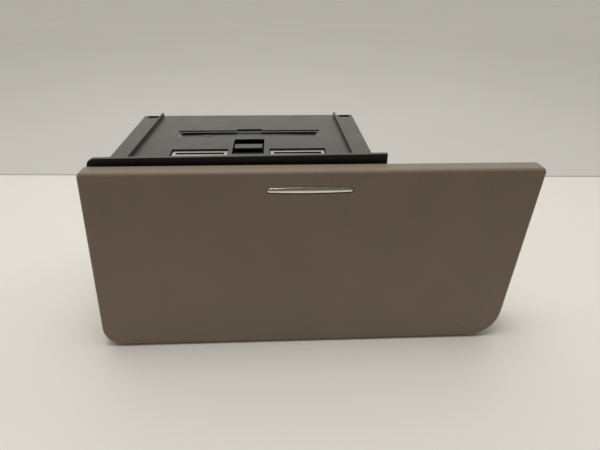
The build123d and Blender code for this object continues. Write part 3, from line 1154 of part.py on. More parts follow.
export_step(fascia_panel.part, "parts/fascia_panel.step")

with BuildPart() as trim_strip:
    with BuildSketch(TRIM_PLANE.offset(-TRIM_POCKET_DEPTH)):
        add(trim_outline(0))
    extrude(amount=TRIM_POCKET_DEPTH + TRIM_PROUD - TRIM_CROWN)
    with BuildSketch(TRIM_PLANE.offset(TRIM_PROUD - TRIM_CROWN)):
        add(trim_outline(0))
    extrude(amount=TRIM_CROWN, taper=TRIM_CROWN_TAPER)
    with BuildSketch(TRIM_PLANE.offset(-TRIM_POCKET_DEPTH)):
        with GridLocations(TRIM_STUD_SPACING, 0, 2, 1):
            Circle(TRIM_STUD_RADIUS)
    extrude(amount=-TRIM_STUD_LENGTH)
trim_strip.part.label = "trim_strip"
export_step(trim_strip.part, "parts/trim_strip.step")

with BuildPart() as trim_push_nuts:
    with BuildSketch(TRIM_PLANE.offset(-FASCIA_WALL - SCREW_TIP_ROOM)):
        with GridLocations(TRIM_STUD_SPACING, 0, 2, 1):
            Circle(PUSH_NUT_RADIUS)
            Circle(TRIM_STUD_RADIUS + PUSH_NUT_FIT, mode=Mode.SUBTRACT)
    extrude(amount=-PUSH_NUT_THICKNESS)
trim_push_nuts.part.label = "trim_push_nuts"
export_step(trim_push_nuts.part, "parts/trim_push_nuts.step")

with BuildPart() as carrier_plate:
    with BuildSketch(Plane.XZ.offset(-FASCIA_REAR_Y)):
        add(fascia_outline(FASCIA_WALL + CARRIER_EDGE_GAP))
    extrude(amount=FASCIA_WALL)
    # Bosses for the bin's screws.
    bin_boss_planes = planes_at([(x, CARRIER_FRONT_Y, z) for x, z in BIN_SCREW_PLACES], FORWARD)
    rods(bin_boss_planes, BIN_BOSS_RADIUS, BIN_BOSS_LENGTH)
    bin_hole_planes = planes_at([(x, FASCIA_REAR_Y, z) for x, z in BIN_SCREW_PLACES], FORWARD)
    rods(bin_hole_planes, SCREW_RADIUS + SCREW_CLEARANCE, FASCIA_WALL + BIN_BOSS_HOLE_DEPTH, Mode.SUBTRACT)
    fascia_screw_planes = planes_at([(x, FASCIA_REAR_Y, z) for x, z in FASCIA_SCREW_PLACES], REARWARD)
    countersunk_holes(fascia_screw_planes, SCREW_RADIUS, SCREW_HEAD_RADIUS, FASCIA_WALL)
    bumper_planes = planes_at([(x, FASCIA_REAR_Y, z) for x, z in BUMPER_PLACES], REARWARD)
    rods(bumper_planes, BUMPER_HOLE_RADIUS, -FASCIA_WALL, Mode.SUBTRACT)
carrier_plate.part.label = "carrier_plate"
export_step(carrier_plate.part, "parts/carrier_plate.step")

with BuildPart() as fascia_screws:
    countersunk_screws(fascia_screw_planes, SCREW_RADIUS, SCREW_HEAD_RADIUS, FASCIA_SCREW_LENGTH)
fascia_screws.part.label = "fascia_screws"
export_step(fascia_screws.part, "parts/fascia_screws.step")

with BuildPart() as bin_screws:
    bin_screw_planes = planes_at([(x, BIN_INNER_FRONT_Y, z) for x, z in BIN_SCREW_PLACES], REARWARD)
    pan_screws(bin_screw_planes, SCREW_RADIUS, SCREW_HEAD_RADIUS, BIN_SCREW_LENGTH)
bin_screws.part.label = "bin_screws"
export_step(bin_screws.part, "parts/bin_screws.step")

with BuildPart() as closing_bumpers:
    rods(bumper_planes, BUMPER_RADIUS, BUMPER_LENGTH)
    rods(bumper_planes, BUMPER_STEM_RADIUS, -BUMPER_STEM_LENGTH)
closing_bumpers.part.label = "closing_bumpers"
export_step(closing_bumpers.part, "parts/closing_bumpers.step")
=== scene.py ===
import json
import math

import bmesh
import bpy
from mathutils import Matrix, Vector


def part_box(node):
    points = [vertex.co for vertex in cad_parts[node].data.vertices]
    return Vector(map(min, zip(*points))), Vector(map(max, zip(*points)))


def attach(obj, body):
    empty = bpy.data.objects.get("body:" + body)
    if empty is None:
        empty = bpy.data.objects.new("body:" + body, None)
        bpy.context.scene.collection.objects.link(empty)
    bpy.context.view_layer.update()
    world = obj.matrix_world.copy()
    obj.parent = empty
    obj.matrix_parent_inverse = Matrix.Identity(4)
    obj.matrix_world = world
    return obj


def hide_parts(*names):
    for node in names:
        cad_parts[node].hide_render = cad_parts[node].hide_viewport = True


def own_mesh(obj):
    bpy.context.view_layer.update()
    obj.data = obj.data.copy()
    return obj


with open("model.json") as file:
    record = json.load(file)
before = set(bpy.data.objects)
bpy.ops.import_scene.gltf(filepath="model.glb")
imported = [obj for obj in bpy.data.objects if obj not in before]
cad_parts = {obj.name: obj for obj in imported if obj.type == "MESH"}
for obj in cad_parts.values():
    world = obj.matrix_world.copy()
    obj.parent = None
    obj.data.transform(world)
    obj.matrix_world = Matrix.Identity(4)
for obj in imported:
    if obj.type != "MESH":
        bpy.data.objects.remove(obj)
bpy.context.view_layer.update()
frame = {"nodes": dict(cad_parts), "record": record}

MM = 0.001
BLACK = (0.0, 0.0, 0.0, 1.0)

# ---------------------------------------------------------------- dimensions

# Trim strip: the fascia's lean in degrees, the strip's section and its two studs.
FASCIA_LEAN = 8.65
TRIM_DEPTH = 1.5 * MM
TRIM_CROWN = 1.0 * MM
TRIM_END_SHARE = 0.70
TRIM_TIP_HALF_HEIGHT = 0.01 * MM
TRIM_STEPS = 96
TRIM_TURNS = 20
TRIM_EDGE_RADIUS = 0.06 * MM
TRIM_EDGE_SEGMENTS = 2
TRIM_EDGE_ANGLE = 50
TRIM_STUD_SPACING = 34.0 * MM
TRIM_STUD_RADIUS = 1.0 * MM
TRIM_STUD_FOOT_SHARE = 0.85
TRIM_STUD_LENGTH = 3.6 * MM
TRIM_STUD_SIDES = 24

# Roll spring: the wound coil, and the holed end that overlaps the strip by a little more than the
# overpush takes up, slightly thinner than the strip so that it stays inside it.
SPRING_THICKNESS = 0.2 * MM
COIL_TURNS = 4.75
COIL_INNER_RADIUS = 3.55 * MM
COIL_STEPS_A_TURN = 40
COIL_SHARP_ANGLE = 40
SPRING_END_LENGTH = 3.8 * MM
SPRING_OVERLAP = 4.4 * MM
SPRING_INSET = 0.02 * MM
SPRING_HOLE_RADIUS = 1.2 * MM
SPRING_HOLE_STEPS = 32

# Skins: how close corners are joined, and how flat faces are merged, in degrees.
JOIN_DISTANCE = 0.002 * MM
MERGE_ANGLE = 0.4

# Finishes: how far wear, painted shade in crevices and painted shade in recesses reach, the
# painted highlights, and the mat's ribs. A painted highlight begins at the end of the leaf spring,
# is as wide as its width below, and lies close to its level.
PLASTIC_WEAR_REACH = 0.45 * MM
METAL_WEAR_REACH = 0.2 * MM
CREVICE_SHADE_REACH = 2.0 * MM
RECESS_SHADE_DEPTH = 0.5 * MM
RECESS_SHADE_CLEAR_DEPTH = 0.15 * MM
END_HIGHLIGHT_WIDTH = 2.3 * MM
END_HIGHLIGHT_START_FADE = 0.3 * MM
END_HIGHLIGHT_END_FADE = 0.2 * MM
END_HIGHLIGHT_SIDE_FADE = 0.6 * MM
END_HIGHLIGHT_LEVEL_REACH = 2.0 * MM
END_HIGHLIGHT_LEVEL_FADE = 0.5 * MM
MAT_RIB_PITCH = 2.4 * MM
MAT_RIB_HEIGHT = 0.5 * MM
# Painted shade colour for crevices.
CREVICE_SHADE_COLOUR = (0.006, 0.0055, 0.005, 1.0)
# Painted shade colour for recesses.
RECESS_SHADE_COLOUR = (0.004, 0.004, 0.004, 1.0)
# Painted highlight colour, a grey, for the black plastic beyond the leaf spring's ends.
END_HIGHLIGHT_COLOUR = (0.27, 0.265, 0.25, 1.0)

# Stage: the pale table ends a little behind the part, along a line that isn't quite square to it,
# and a greyer surface carries on behind it, with a narrow darker strip of painted shade along the
# line where they meet. A fade is two places along Y, each with a share of the colour: on the
# table it is painted shade, darker towards the front, and on the backdrop it is painted light,
# brighter further back. The table lies just under the part, and the other sheets just under the
# table. All reach as far to each side as TABLE_REACH.
TABLE_START_Y = -3.0
TABLE_END_Y = 0.1943
TABLE_END_SLOPE = -0.0386
TABLE_REACH = 3.0
TABLE_Z = -0.1 * MM
# Painted shade: the width of the darker strip where the table meets the backdrop.
WALL_SHADE_WIDTH = 0.004
BACKDROP_END_Y = 4.0
BACKDROP_Z = -0.2 * MM
# Painted shade: the table's colour darkens towards the front.
TABLE_SHADE_FADE = ((-0.50, 0.35), (-0.14, 1.0))
# Painted light: the backdrop's colour brightens further back.
BACKDROP_LIGHT_FADE = ((0.2, 0.78), (1.7, 1.0))

# Room: its brightness rises along +Y from the camera's side to the part's far side.
ROOM_COLOUR = (1.0, 0.965, 0.87, 1.0)
ROOM_DARK_FROM = -0.35
ROOM_BRIGHT_FROM = 0.80
ROOM_DARK_STRENGTH = 0.11
ROOM_BRIGHT_STRENGTH = 1.05

# Camera.
YAW = math.radians(2.968)
PITCH = math.radians(28.43)
ROLL = math.radians(0.48)
CAMERA_PLACE = Vector((-20.27, -283.25, 198.59)) * MM
LENS = 28.59
CLIP_START = 0.01

# ---------------------------------------------------------------- materials


class Tree:
    """A material's node tree, with short calls for the nodes that the finishes share."""

    def __init__(self, name):
        self.material = bpy.data.materials.new(name)
        self.material.use_nodes = True
        self.nodes = self.material.node_tree.nodes
        self.links = self.material.node_tree.links
        self.shader = self.nodes["Principled BSDF"]
        self.place = self.nodes.new("ShaderNodeTexCoord").outputs["Object"]

    def set(self, **values):
        """Sets uniform values on the shader's own sockets."""
        for name, value in values.items():
            self.shader.inputs[name.replace("_", " ")].default_value = value

    def link(self, source, target):
        self.links.new(source, target)

    def axes(self):
        """Object coordinates as separate X, Y and Z sockets."""
        node = self.nodes.new("ShaderNodeSeparateXYZ")
        self.link(self.place, node.inputs["Vector"])
        return node.outputs

    def stretch(self, scale):
        """Object coordinates scaled per axis."""
        node = self.nodes.new("ShaderNodeMapping")
        node.inputs["Scale"].default_value = scale
        self.link(self.place, node.inputs["Vector"])
        return node.outputs["Vector"]

    def noise(self, scale, detail=2.0, rough=0.5, at=None):
        node = self.nodes.new("ShaderNodeTexNoise")
        node.inputs["Scale"].default_value = scale
        node.inputs["Detail"].default_value = detail
        node.inputs["Roughness"].default_value = rough
        self.link(at or self.place, node.inputs["Vector"])
        return node.outputs["Fac"]

    def cells(self, scale, at=None):
        node = self.nodes.new("ShaderNodeTexVoronoi")
        node.feature = "SMOOTH_F1"
        node.inputs["Scale"].default_value = scale
        node.inputs["Smoothness"].default_value = 0.6
        self.link(at or self.place, node.inputs["Vector"])
        return node.outputs["Distance"]

    def remap(self, value, low, high, to_low, to_high):
        node = self.nodes.new("ShaderNodeMapRange")
        node.inputs["From Min"].default_value = low
        node.inputs["From Max"].default_value = high
        node.inputs["To Min"].default_value = to_low
        node.inputs["To Max"].default_value = to_high
        self.link(value, node.inputs["Value"])
        return node.outputs["Result"]

    def mix(self, factor, first, second, blend="MIX"):
        """Mixes two colours, each a socket or a colour."""
        node = self.nodes.new("ShaderNodeMix")
        node.data_type = "RGBA"
        node.blend_type = blend
        sockets = {socket.identifier: socket for socket in node.inputs}
        for source, target in (
            (factor, sockets["Factor_Float"]),
            (first, sockets["A_Color"]),
            (second, sockets["B_Color"]),
        ):
            if isinstance(source, bpy.types.NodeSocket):
                self.link(source, target)
            else:
                target.default_value = source
        return next(socket for socket in node.outputs if socket.identifier == "Result_Color")

    def math(self, operation, first, second):
        node = self.nodes.new("ShaderNodeMath")
        node.operation = operation
        for source, target in zip((first, second), node.inputs):
            if isinstance(source, bpy.types.NodeSocket):
                self.link(source, target)
            else:
                target.default_value = source
        return node.outputs["Value"]

    def worn_edges(self, radius):
        """1 along convex edges and 0 on flat faces, from a bevelled normal."""
        bevel = self.nodes.new("ShaderNodeBevel")
        bevel.samples = 4
        bevel.inputs["Radius"].default_value = radius
        geometry = self.nodes.new("ShaderNodeNewGeometry")
        dot = self.nodes.new("ShaderNodeVectorMath")
        dot.operation = "DOT_PRODUCT"
        self.link(bevel.outputs["Normal"], dot.inputs[0])
        self.link(geometry.outputs["Normal"], dot.inputs[1])
        return self.remap(dot.outputs["Value"], 0.995, 0.86, 0.0, 1.0)

    def painted_crevice_shade(self, reach):
        """Painted shade mask: 1 in narrow gaps and inner corners, where shade falls, and 0 on open
        faces.
        """
        node = self.nodes.new("ShaderNodeAmbientOcclusion")
        node.samples = 6
        node.only_local = True
        node.inputs["Distance"].default_value = reach
        return self.remap(node.outputs["AO"], 0.45, 0.9, 1.0, 0.0)

    def painted_end_highlights(self, box):
        """Painted highlight mask: 1 in a strip beyond each end of a box along X, and 0 elsewhere."""
        low, high = (Vector(corner) for corner in box)
        middle = (low + high) / 2
        axes = self.axes()
        from_middle = [
            self.math("ABSOLUTE", self.math("SUBTRACT", axes[axis], middle[number]), 0.0)
            for number, axis in enumerate("XYZ")
        ]
        half = (high - low) / 2
        end = half.x + END_HIGHLIGHT_WIDTH
        height = half.z + END_HIGHLIGHT_LEVEL_REACH
        beyond = self.remap(from_middle[0], half.x, half.x + END_HIGHLIGHT_START_FADE, 0.0, 1.0)
        before = self.remap(from_middle[0], end, end + END_HIGHLIGHT_END_FADE, 1.0, 0.0)
        beside = self.remap(from_middle[1], half.y, half.y + END_HIGHLIGHT_SIDE_FADE, 1.0, 0.0)
        level = self.remap(from_middle[2], height, height + END_HIGHLIGHT_LEVEL_FADE, 1.0, 0.0)
        along = self.math("MULTIPLY", beyond, before)
        return self.math("MULTIPLY", along, self.math("MULTIPLY", beside, level))

    def ribs(self, pitch, direction):
        """Rounded ribs of one pitch across one axis."""
        node = self.nodes.new("ShaderNodeTexWave")
        node.bands_direction = direction
        node.inputs["Scale"].default_value = math.pi / (10 * pitch)
        node.inputs["Distortion"].default_value = 0.0
        self.link(self.place, node.inputs["Vector"])
        return node.outputs["Fac"]

    def bump(self, height, distance, strength=1.0, under=None):
        node = self.nodes.new("ShaderNodeBump")
        node.inputs["Distance"].default_value = distance
        node.inputs["Strength"].default_value = strength
        self.link(height, node.inputs["Height"])
        if under is not None:
            self.link(under, node.inputs["Normal"])
        return node.outputs["Normal"]

    def finish(self, colour, roughness, normal):
        self.link(colour, self.shader.inputs["Base Color"])
        self.link(roughness, self.shader.inputs["Roughness"])
        self.link(normal, self.shader.inputs["Normal"])
        return self.material


def shade(colour, factor):
    return (colour[0] * factor, colour[1] * factor, colour[2] * factor, 1.0)


def moulded(
    name,
    colour,
    roughness,
    grain=0.45 * MM,
    depth=0.012 * MM,
    wear=1.5,
    specular=0.5,
    sheen=0.0,
    crevice_shaded=False,
    highlighted_box=None,
    shade_below=None,
):
    """Moulded plastic: fine pebble grain, faint flow mottling and speckle, and rubbed edges.

    It may also have painted shade in its crevices, painted highlights beyond a box's two ends, and
    painted shade in recesses below a height.
    """
    tree = Tree(name)
    tree.set(Specular_IOR_Level=specular, Sheen_Weight=sheen, Sheen_Roughness=0.45)
    flow = tree.noise(22.0, 3.0, 0.6)
    speckle = tree.noise(700.0, 2.0, 0.6)
    base = tree.mix(tree.remap(flow, 0.3, 0.7, 0.0, 1.0), shade(colour, 0.95), shade(colour, 1.05))
    base = tree.mix(tree.remap(speckle, 0.35, 0.65, 0.0, 0.25), base, shade(colour, 1.14))
    patches = tree.remap(tree.noise(160.0), 0.4, 0.62, 0.1, 0.7)
    rubbed = tree.math("MULTIPLY", tree.worn_edges(PLASTIC_WEAR_REACH), patches)
    base = tree.mix(rubbed, base, shade(colour, wear))
    if crevice_shaded:
        # Painted shade: crevices found by ambient occlusion go near-black.
        base = tree.mix(tree.painted_crevice_shade(CREVICE_SHADE_REACH), base, CREVICE_SHADE_COLOUR)
    if shade_below:
        # Painted shade: below the given height the colour goes near-black, as shade inside the
        # recess.
        dark_from = shade_below - RECESS_SHADE_DEPTH
        clear_from = shade_below - RECESS_SHADE_CLEAR_DEPTH
        recess = tree.remap(tree.axes()["Z"], dark_from, clear_from, 1.0, 0.0)
        base = tree.mix(recess, base, RECESS_SHADE_COLOUR)
    if highlighted_box:
        # Painted highlight: a grey strip, broken up by noise, beyond each end of the box.
        highlight_breakup = tree.remap(tree.noise(500.0, 3.0, 0.6), 0.3, 0.6, 0.6, 1.0)
        end_highlight = tree.math("MULTIPLY", tree.painted_end_highlights(highlighted_box), highlight_breakup)
        base = tree.mix(end_highlight, base, END_HIGHLIGHT_COLOUR)
    pebble = tree.cells(1.0 / grain)
    fine = tree.noise(2.6 / grain, 2.0, 0.6)
    height = tree.math("ADD", pebble, tree.math("MULTIPLY", fine, 0.35))
    smear = tree.remap(tree.noise(60.0, 3.0, 0.6), 0.35, 0.7, roughness - 0.02, roughness + 0.025)
    return tree.finish(base, smear, tree.bump(height, depth, 0.8))


def metal(name, colour, roughness, brush=(1.0, 1.0, 1.0), depth=0.004 * MM, dark=0.8):
    """Metal with directional brushing, faint staining and brightened edges."""
    tree = Tree(name)
    tree.set(Metallic=1.0)
    stain = tree.noise(140.0, 3.0, 0.6)
    base = tree.mix(tree.remap(stain, 0.35, 0.7, 0.0, 1.0), shade(colour, 1.0), shade(colour, dark))
    rubbed = tree.math("MULTIPLY", tree.worn_edges(METAL_WEAR_REACH), 0.4)
    base = tree.mix(rubbed, base, shade(colour, 1.15))
    lines = tree.noise(900.0, 2.0, 0.6, tree.stretch(brush))
    rough = tree.remap(lines, 0.3, 0.7, roughness * 0.8, roughness * 1.25)
    return tree.finish(base, rough, tree.bump(lines, depth, 0.6))


def rubber(name, colour, roughness, ribbed=False):
    """Matt rubber with a dusty bloom and a fine open texture, with or without ribs."""
    tree = Tree(name)
    tree.set(Specular_IOR_Level=0.35)
    bloom = tree.noise(90.0, 4.0, 0.65)
    base = tree.mix(tree.remap(bloom, 0.35, 0.7, 0.0, 1.0), shade(colour, 0.85), shade(colour, 1.5))
    surface = tree.bump(tree.noise(2400.0, 3.0, 0.7), 0.02 * MM)
    if ribbed:
        surface = tree.bump(tree.ribs(MAT_RIB_PITCH, "X"), MAT_RIB_HEIGHT, under=surface)
    return tree.finish(base, tree.remap(bloom, 0.3, 0.7, roughness - 0.06, roughness + 0.06), surface)


materials = {
    "soft_touch": moulded(
        "soft_touch",
        colour=(0.222, 0.173, 0.126),
        roughness=0.56,
        grain=0.40 * MM,
        depth=0.010 * MM,
        wear=1.12,
        specular=0.45,
        sheen=0.08,
    ),
    "black_plastic": moulded(
        "black_plastic",
        colour=(0.0070, 0.0070, 0.0066),
        roughness=0.40,
        grain=0.38 * MM,
        depth=0.006 * MM,
        wear=2.0,
        specular=0.6,
        # Painted highlights beyond the leaf spring's ends.
        highlighted_box=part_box("deck_leaf_spring"),
    ),
    "bin_plastic": moulded("bin_plastic", colour=(0.026, 0.025, 0.024), roughness=0.46, wear=1.9),
    "acetal": moulded(
        "acetal",
        colour=(0.66, 0.66, 0.63),
        roughness=0.36,
        grain=0.60 * MM,
        depth=0.006 * MM,
        wear=1.08,
        # Painted shade in the crevices.
        crevice_shaded=True,
    ),
    "socket_acetal": moulded(
        "socket_acetal",
        colour=(0.44, 0.45, 0.45),
        roughness=0.40,
        grain=0.60 * MM,
        depth=0.006 * MM,
        wear=1.08,
        # Painted shade in the sockets' slots, below their top.
        shade_below=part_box("left_locator_socket")[1][2],
    ),
    "bright_chrome": metal(
        "bright_chrome",
        colour=(0.95, 0.89, 0.80),
        roughness=0.19,
        brush=(0.2, 1.0, 1.0),
        depth=0.0005 * MM,
        dark=0.94,
    ),
    "steel": metal("steel", colour=(0.60, 0.60, 0.62), roughness=0.30),
    "spring_steel": metal(
        "spring_steel", colour=(0.42, 0.43, 0.45), roughness=0.26, brush=(0.06, 1.0, 1.0), dark=0.7
    ),
    "rubber": rubber("rubber", (0.022, 0.022, 0.023), 0.78),
    "mat": rubber("mat", (0.040, 0.039, 0.038), 0.82, ribbed=True),
}
slot_of = {entry["node"]: entry["material_slot"] for entry in frame["record"]["subparts"]}
body_of_node = {
    node: body for body, nodes in frame["record"]["behaviour"]["bodies"].items() for node in nodes
}
for node, piece in frame["nodes"].items():
    for slot in piece.material_slots:
        slot.material = materials[slot_of[node]]

# ---------------------------------------------------------------- pieces


def add_piece(name, mesh, node, body=None):
    """A new piece that stands for a CAD node, in its finish and on its body or on the named one."""
    piece = bpy.data.objects.new(name, mesh)
    bpy.context.collection.objects.link(piece)
    mesh.materials.clear()
    mesh.materials.append(materials[slot_of[node]])
    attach(piece, body or body_of_node[node])
    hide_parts(node)
    return piece


def smooth_edges(piece, width, segments=3, angle=32):
    """Rounds the sharp edges, then keeps flat faces flat in the shading."""
    for polygon in piece.data.polygons:
        polygon.use_smooth = True
    bevel = piece.modifiers.new("rounded edges", "BEVEL")
    bevel.width = width
    bevel.segments = segments
    bevel.limit_method = "ANGLE"
    bevel.angle_limit = math.radians(angle)
    bevel.use_clamp_overlap = True
    bevel.miter_outer = "MITER_ARC"
    weighted = piece.modifiers.new("flat faces", "WEIGHTED_NORMAL")
    weighted.mode = "FACE_AREA"
    weighted.weight = 100
    weighted.keep_sharp = True


def as_mesh(shell, name):
    """The shell as a finished mesh. The shell itself is freed."""
    mesh = bpy.data.meshes.new(name)
    shell.to_mesh(mesh)
    shell.free()
    return mesh


def cover_rings(shell, rings):
    """Faces from ring to ring, and one across each end."""
    for ring, following in zip(rings, rings[1:]):
        for corner in range(len(ring)):
            onward = (corner + 1) % len(ring)
            shell.faces.new((ring[corner], following[corner], following[onward], ring[onward]))
    shell.faces.new(rings[0])
    shell.faces.new(list(reversed(rings[-1])))


def moulded_copy(node, width, fill):
    """A CAD node's shape as one joined skin, with the small edge radius that moulding leaves.

    Faces with more than four corners are split in the fill's way, so that they shade evenly.
    """
    shell = bmesh.new()
    shell.from_mesh(frame["nodes"][node].data)
    bmesh.ops.remove_doubles(shell, verts=shell.verts, dist=JOIN_DISTANCE)
    bmesh.ops.dissolve_limit(
        shell,
        angle_limit=math.radians(MERGE_ANGLE),
        use_dissolve_boundaries=False,
        verts=shell.verts,
        edges=shell.edges,
    )
    wide_faces = [face for face in shell.faces if len(face.verts) > 4]
    bmesh.ops.triangulate(shell, faces=wide_faces, ngon_method=fill)
    piece = add_piece(f"{node}_moulded", as_mesh(shell, f"{node}_moulded"), node)
    smooth_edges(piece, width)
    return piece


for node, width, fill in (
    ("housing_shell", 0.30 * MM, "EAR_CLIP"),
    ("rear_cover", 0.25 * MM, "BEAUTY"),
    ("drawer_bin", 0.30 * MM, "BEAUTY"),
    ("carrier_plate", 0.20 * MM, "BEAUTY"),
    ("fascia_panel", 0.25 * MM, "BEAUTY"),
    ("left_locator_socket", 0.20 * MM, "BEAUTY"),
    ("right_locator_socket", 0.20 * MM, "BEAUTY"),
    ("left_guide_rail", 0.25 * MM, "BEAUTY"),
    ("right_guide_rail", 0.25 * MM, "BEAUTY"),
    ("deck_leaf_spring", 0.10 * MM, "BEAUTY"),
):
    piece = moulded_copy(node, width, fill)
    if node.endswith("locator_socket"):
        piece.data.materials[0] = materials["socket_acetal"]


def trim_mesh():
    """The trim strip as a bar with a fully rounded front, round ends and its two studs."""
    lean = math.radians(FASCIA_LEAN)
    outward = Vector((0, -math.cos(lean), math.sin(lean)))
    upward = Vector((0, math.sin(lean), math.cos(lean)))
    points = [vertex.co for vertex in frame["nodes"]["trim_strip"].data.vertices]
    front = max(point.dot(outward) for point in points)
    heights = [point.dot(upward) for point in points]
    places = [point.x for point in points]
    middle = Vector(((min(places) + max(places)) / 2, 0, 0))
    half_length = (max(places) - min(places)) / 2
    origin = outward * front + upward * (min(heights) + max(heights)) / 2 + middle
    half_height = (max(heights) - min(heights)) / 2
    end_half_height = TRIM_END_SHARE * half_height
    shell = bmesh.new()
    rings = []
    for step in range(TRIM_STEPS + 1):
        along = -math.cos(math.pi * step / TRIM_STEPS) * half_length
        past = max(0.0, abs(along) - (half_length - end_half_height)) / end_half_height
        bow = end_half_height + (half_height - end_half_height) * (1 - (along / half_length) ** 2)
        half = max(bow * math.sqrt(max(0.0, 1 - past**2)), TRIM_TIP_HALF_HEIGHT)
        crown = TRIM_CROWN * min(1.0, half / end_half_height)
        section = [(-half, -TRIM_DEPTH)]
        for turn in range(TRIM_TURNS + 1):
            angle = math.pi * (turn / TRIM_TURNS - 0.5)
            depth = crown * (math.cos(angle) - 1) - (TRIM_CROWN - crown)
            section.append((half * math.sin(angle), depth))
        section.append((half, -TRIM_DEPTH))
        place = origin + Vector((along, 0, 0))
        rings.append(
            [shell.verts.new(place + upward * rise + outward * depth) for rise, depth in section]
        )
    cover_rings(shell, rings)
    turned = outward.to_track_quat("Z", "Y").to_matrix().to_4x4()
    for side in (-1, 1):
        foot = origin + Vector((side * TRIM_STUD_SPACING / 2, 0, 0)) - outward * TRIM_DEPTH
        bmesh.ops.create_cone(
            shell,
            cap_ends=True,
            segments=TRIM_STUD_SIDES,
            radius1=TRIM_STUD_RADIUS * TRIM_STUD_FOOT_SHARE,
            radius2=TRIM_STUD_RADIUS,
            depth=TRIM_STUD_LENGTH,
            matrix=Matrix.Translation(foot - outward * TRIM_STUD_LENGTH / 2) @ turned,
        )
    bmesh.ops.recalc_face_normals(shell, faces=shell.faces)
    return as_mesh(shell, "trim_strip_rounded")


trim = add_piece("trim_strip_rounded", trim_mesh(), "trim_strip")
smooth_edges(trim, TRIM_EDGE_RADIUS, TRIM_EDGE_SEGMENTS, TRIM_EDGE_ANGLE)


def ribbon_mesh(name, line, low_x, high_x):
    """A thin strip of one width along X, its lower and upper faces on pairs of (y, z) places."""
    shell = bmesh.new()
    rings = []
    for under, over in line:
        corners = ((low_x, under), (high_x, under), (high_x, over), (low_x, over))
        rings.append([shell.verts.new((x, *place)) for x, place in corners])
    cover_rings(shell, rings)
    bmesh.ops.recalc_face_normals(shell, faces=shell.faces)
    return as_mesh(shell, name)


def coil_line(centre, outer_radius):
    """The lower and upper (y, z) places along a coil that winds out to the top of its outer turn."""
    steps = int(COIL_TURNS * COIL_STEPS_A_TURN)
    line = []
    for step in range(steps + 1):
        share = step / steps
        radius = COIL_INNER_RADIUS + (outer_radius - COIL_INNER_RADIUS) * share
        angle = math.pi / 2 + 2 * math.pi * COIL_TURNS * (1 - share)
        ray = Vector((math.cos(angle), math.sin(angle)))
        line.append([centre.yz + ray * (radius + rise) for rise in (0, SPRING_THICKNESS)])
    return line


def holed_end_mesh(name, low, high, hole):
    """A thin rectangle between two corners, with a round hole through it."""
    shell = bmesh.new()
    turns = [2 * math.pi * step / SPRING_HOLE_STEPS for step in range(SPRING_HOLE_STEPS)]
    rim = [hole + SPRING_HOLE_RADIUS * Vector((math.cos(turn), math.sin(turn))) for turn in turns]
    outline = [(low.x, low.y), (high.x, low.y), (high.x, high.y), (low.x, high.y)]
    levels = []
    for z in (low.z, high.z):
        loops = [[shell.verts.new((x, y, z)) for x, y in loop] for loop in (outline, rim)]
        edges = [shell.edges.new(pair) for loop in loops for pair in zip(loop[-1:] + loop, loop)]
        bmesh.ops.triangle_fill(shell, edges=edges, use_beauty=True)
        levels.append(loops)
    for under, over in zip(*levels):
        for number in range(len(under)):
            shell.faces.new((under[number - 1], under[number], over[number], over[number - 1]))
    bmesh.ops.recalc_face_normals(shell, faces=shell.faces)
    return as_mesh(shell, name)


def roll_spring_pieces():
    """The roll spring as a wound coil, a straight strip with a mesh of its own, and a holed end on
    the drawer.
    """
    low, high = (Vector(corner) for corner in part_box("roll_spring"))
    coil_radius = (high.z - low.z) / 2
    centre = Vector((0, low.y + coil_radius, (low.z + high.z) / 2))
    line = coil_line(centre, coil_radius - SPRING_THICKNESS)
    coil_mesh = ribbon_mesh("roll_spring_coil", line, low.x, high.x)
    coil = add_piece("roll_spring_coil", coil_mesh, "roll_spring")
    for polygon in coil.data.polygons:
        polygon.use_smooth = True
    coil.data.set_sharp_from_angle(angle=math.radians(COIL_SHARP_ANGLE))

    joint_y = high.y - SPRING_END_LENGTH
    line = [((y, high.z - SPRING_THICKNESS), (y, high.z)) for y in (centre.y, joint_y)]
    strip_mesh = ribbon_mesh("roll_spring_strip", line, low.x, high.x)
    strip = add_piece("roll_spring_strip", strip_mesh, "roll_spring")
    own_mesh(strip)

    anchor_low, anchor_high = (Vector(corner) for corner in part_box("spring_anchor"))
    end_mesh = holed_end_mesh(
        "roll_spring_end",
        Vector((low.x, joint_y - SPRING_OVERLAP, high.z - SPRING_THICKNESS + SPRING_INSET)),
        Vector((high.x, high.y, high.z - SPRING_INSET)),
        Vector(((low.x + high.x) / 2, (anchor_low.y + anchor_high.y) / 2)),
    )
    add_piece("roll_spring_end", end_mesh, "roll_spring", "drawer")


roll_spring_pieces()

# ---------------------------------------------------------------- stage


def stage_sheet(name, near, far, height, colour, roughness, fade):
    """A flat sheet between two lines across the stage, each a place and a slope."""
    mesh = bpy.data.meshes.new(name)
    left, right = -TABLE_REACH, TABLE_REACH
    corners = [
        (x, place + slope * x, height)
        for x, (place, slope) in ((left, near), (right, near), (right, far), (left, far))
    ]
    mesh.from_pydata(corners, [], [(0, 1, 2, 3)])
    plane = bpy.data.objects.new(name, mesh)
    bpy.context.collection.objects.link(plane)
    tree = Tree(name)
    tree.set(Specular_IOR_Level=0.3)
    cloud = tree.noise(5.0, 2.0, 0.5)
    base = tree.mix(tree.remap(cloud, 0.3, 0.7, 0.0, 1.0), shade(colour, 0.985), shade(colour, 1.015))
    # Painted light and shade: the colour is scaled by a share that changes along Y.
    (near_place, near_share), (far_place, far_share) = fade
    share = tree.remap(tree.axes()["Y"], near_place, far_place, near_share, far_share)
    base = tree.mix(share, BLACK, base)
    grain = tree.noise(800.0, 2.0, 0.5)
    smear = tree.remap(grain, 0.3, 0.7, roughness - 0.04, roughness + 0.04)
    mesh.materials.append(tree.finish(base, smear, tree.bump(grain, 0.01 * MM, 0.3)))


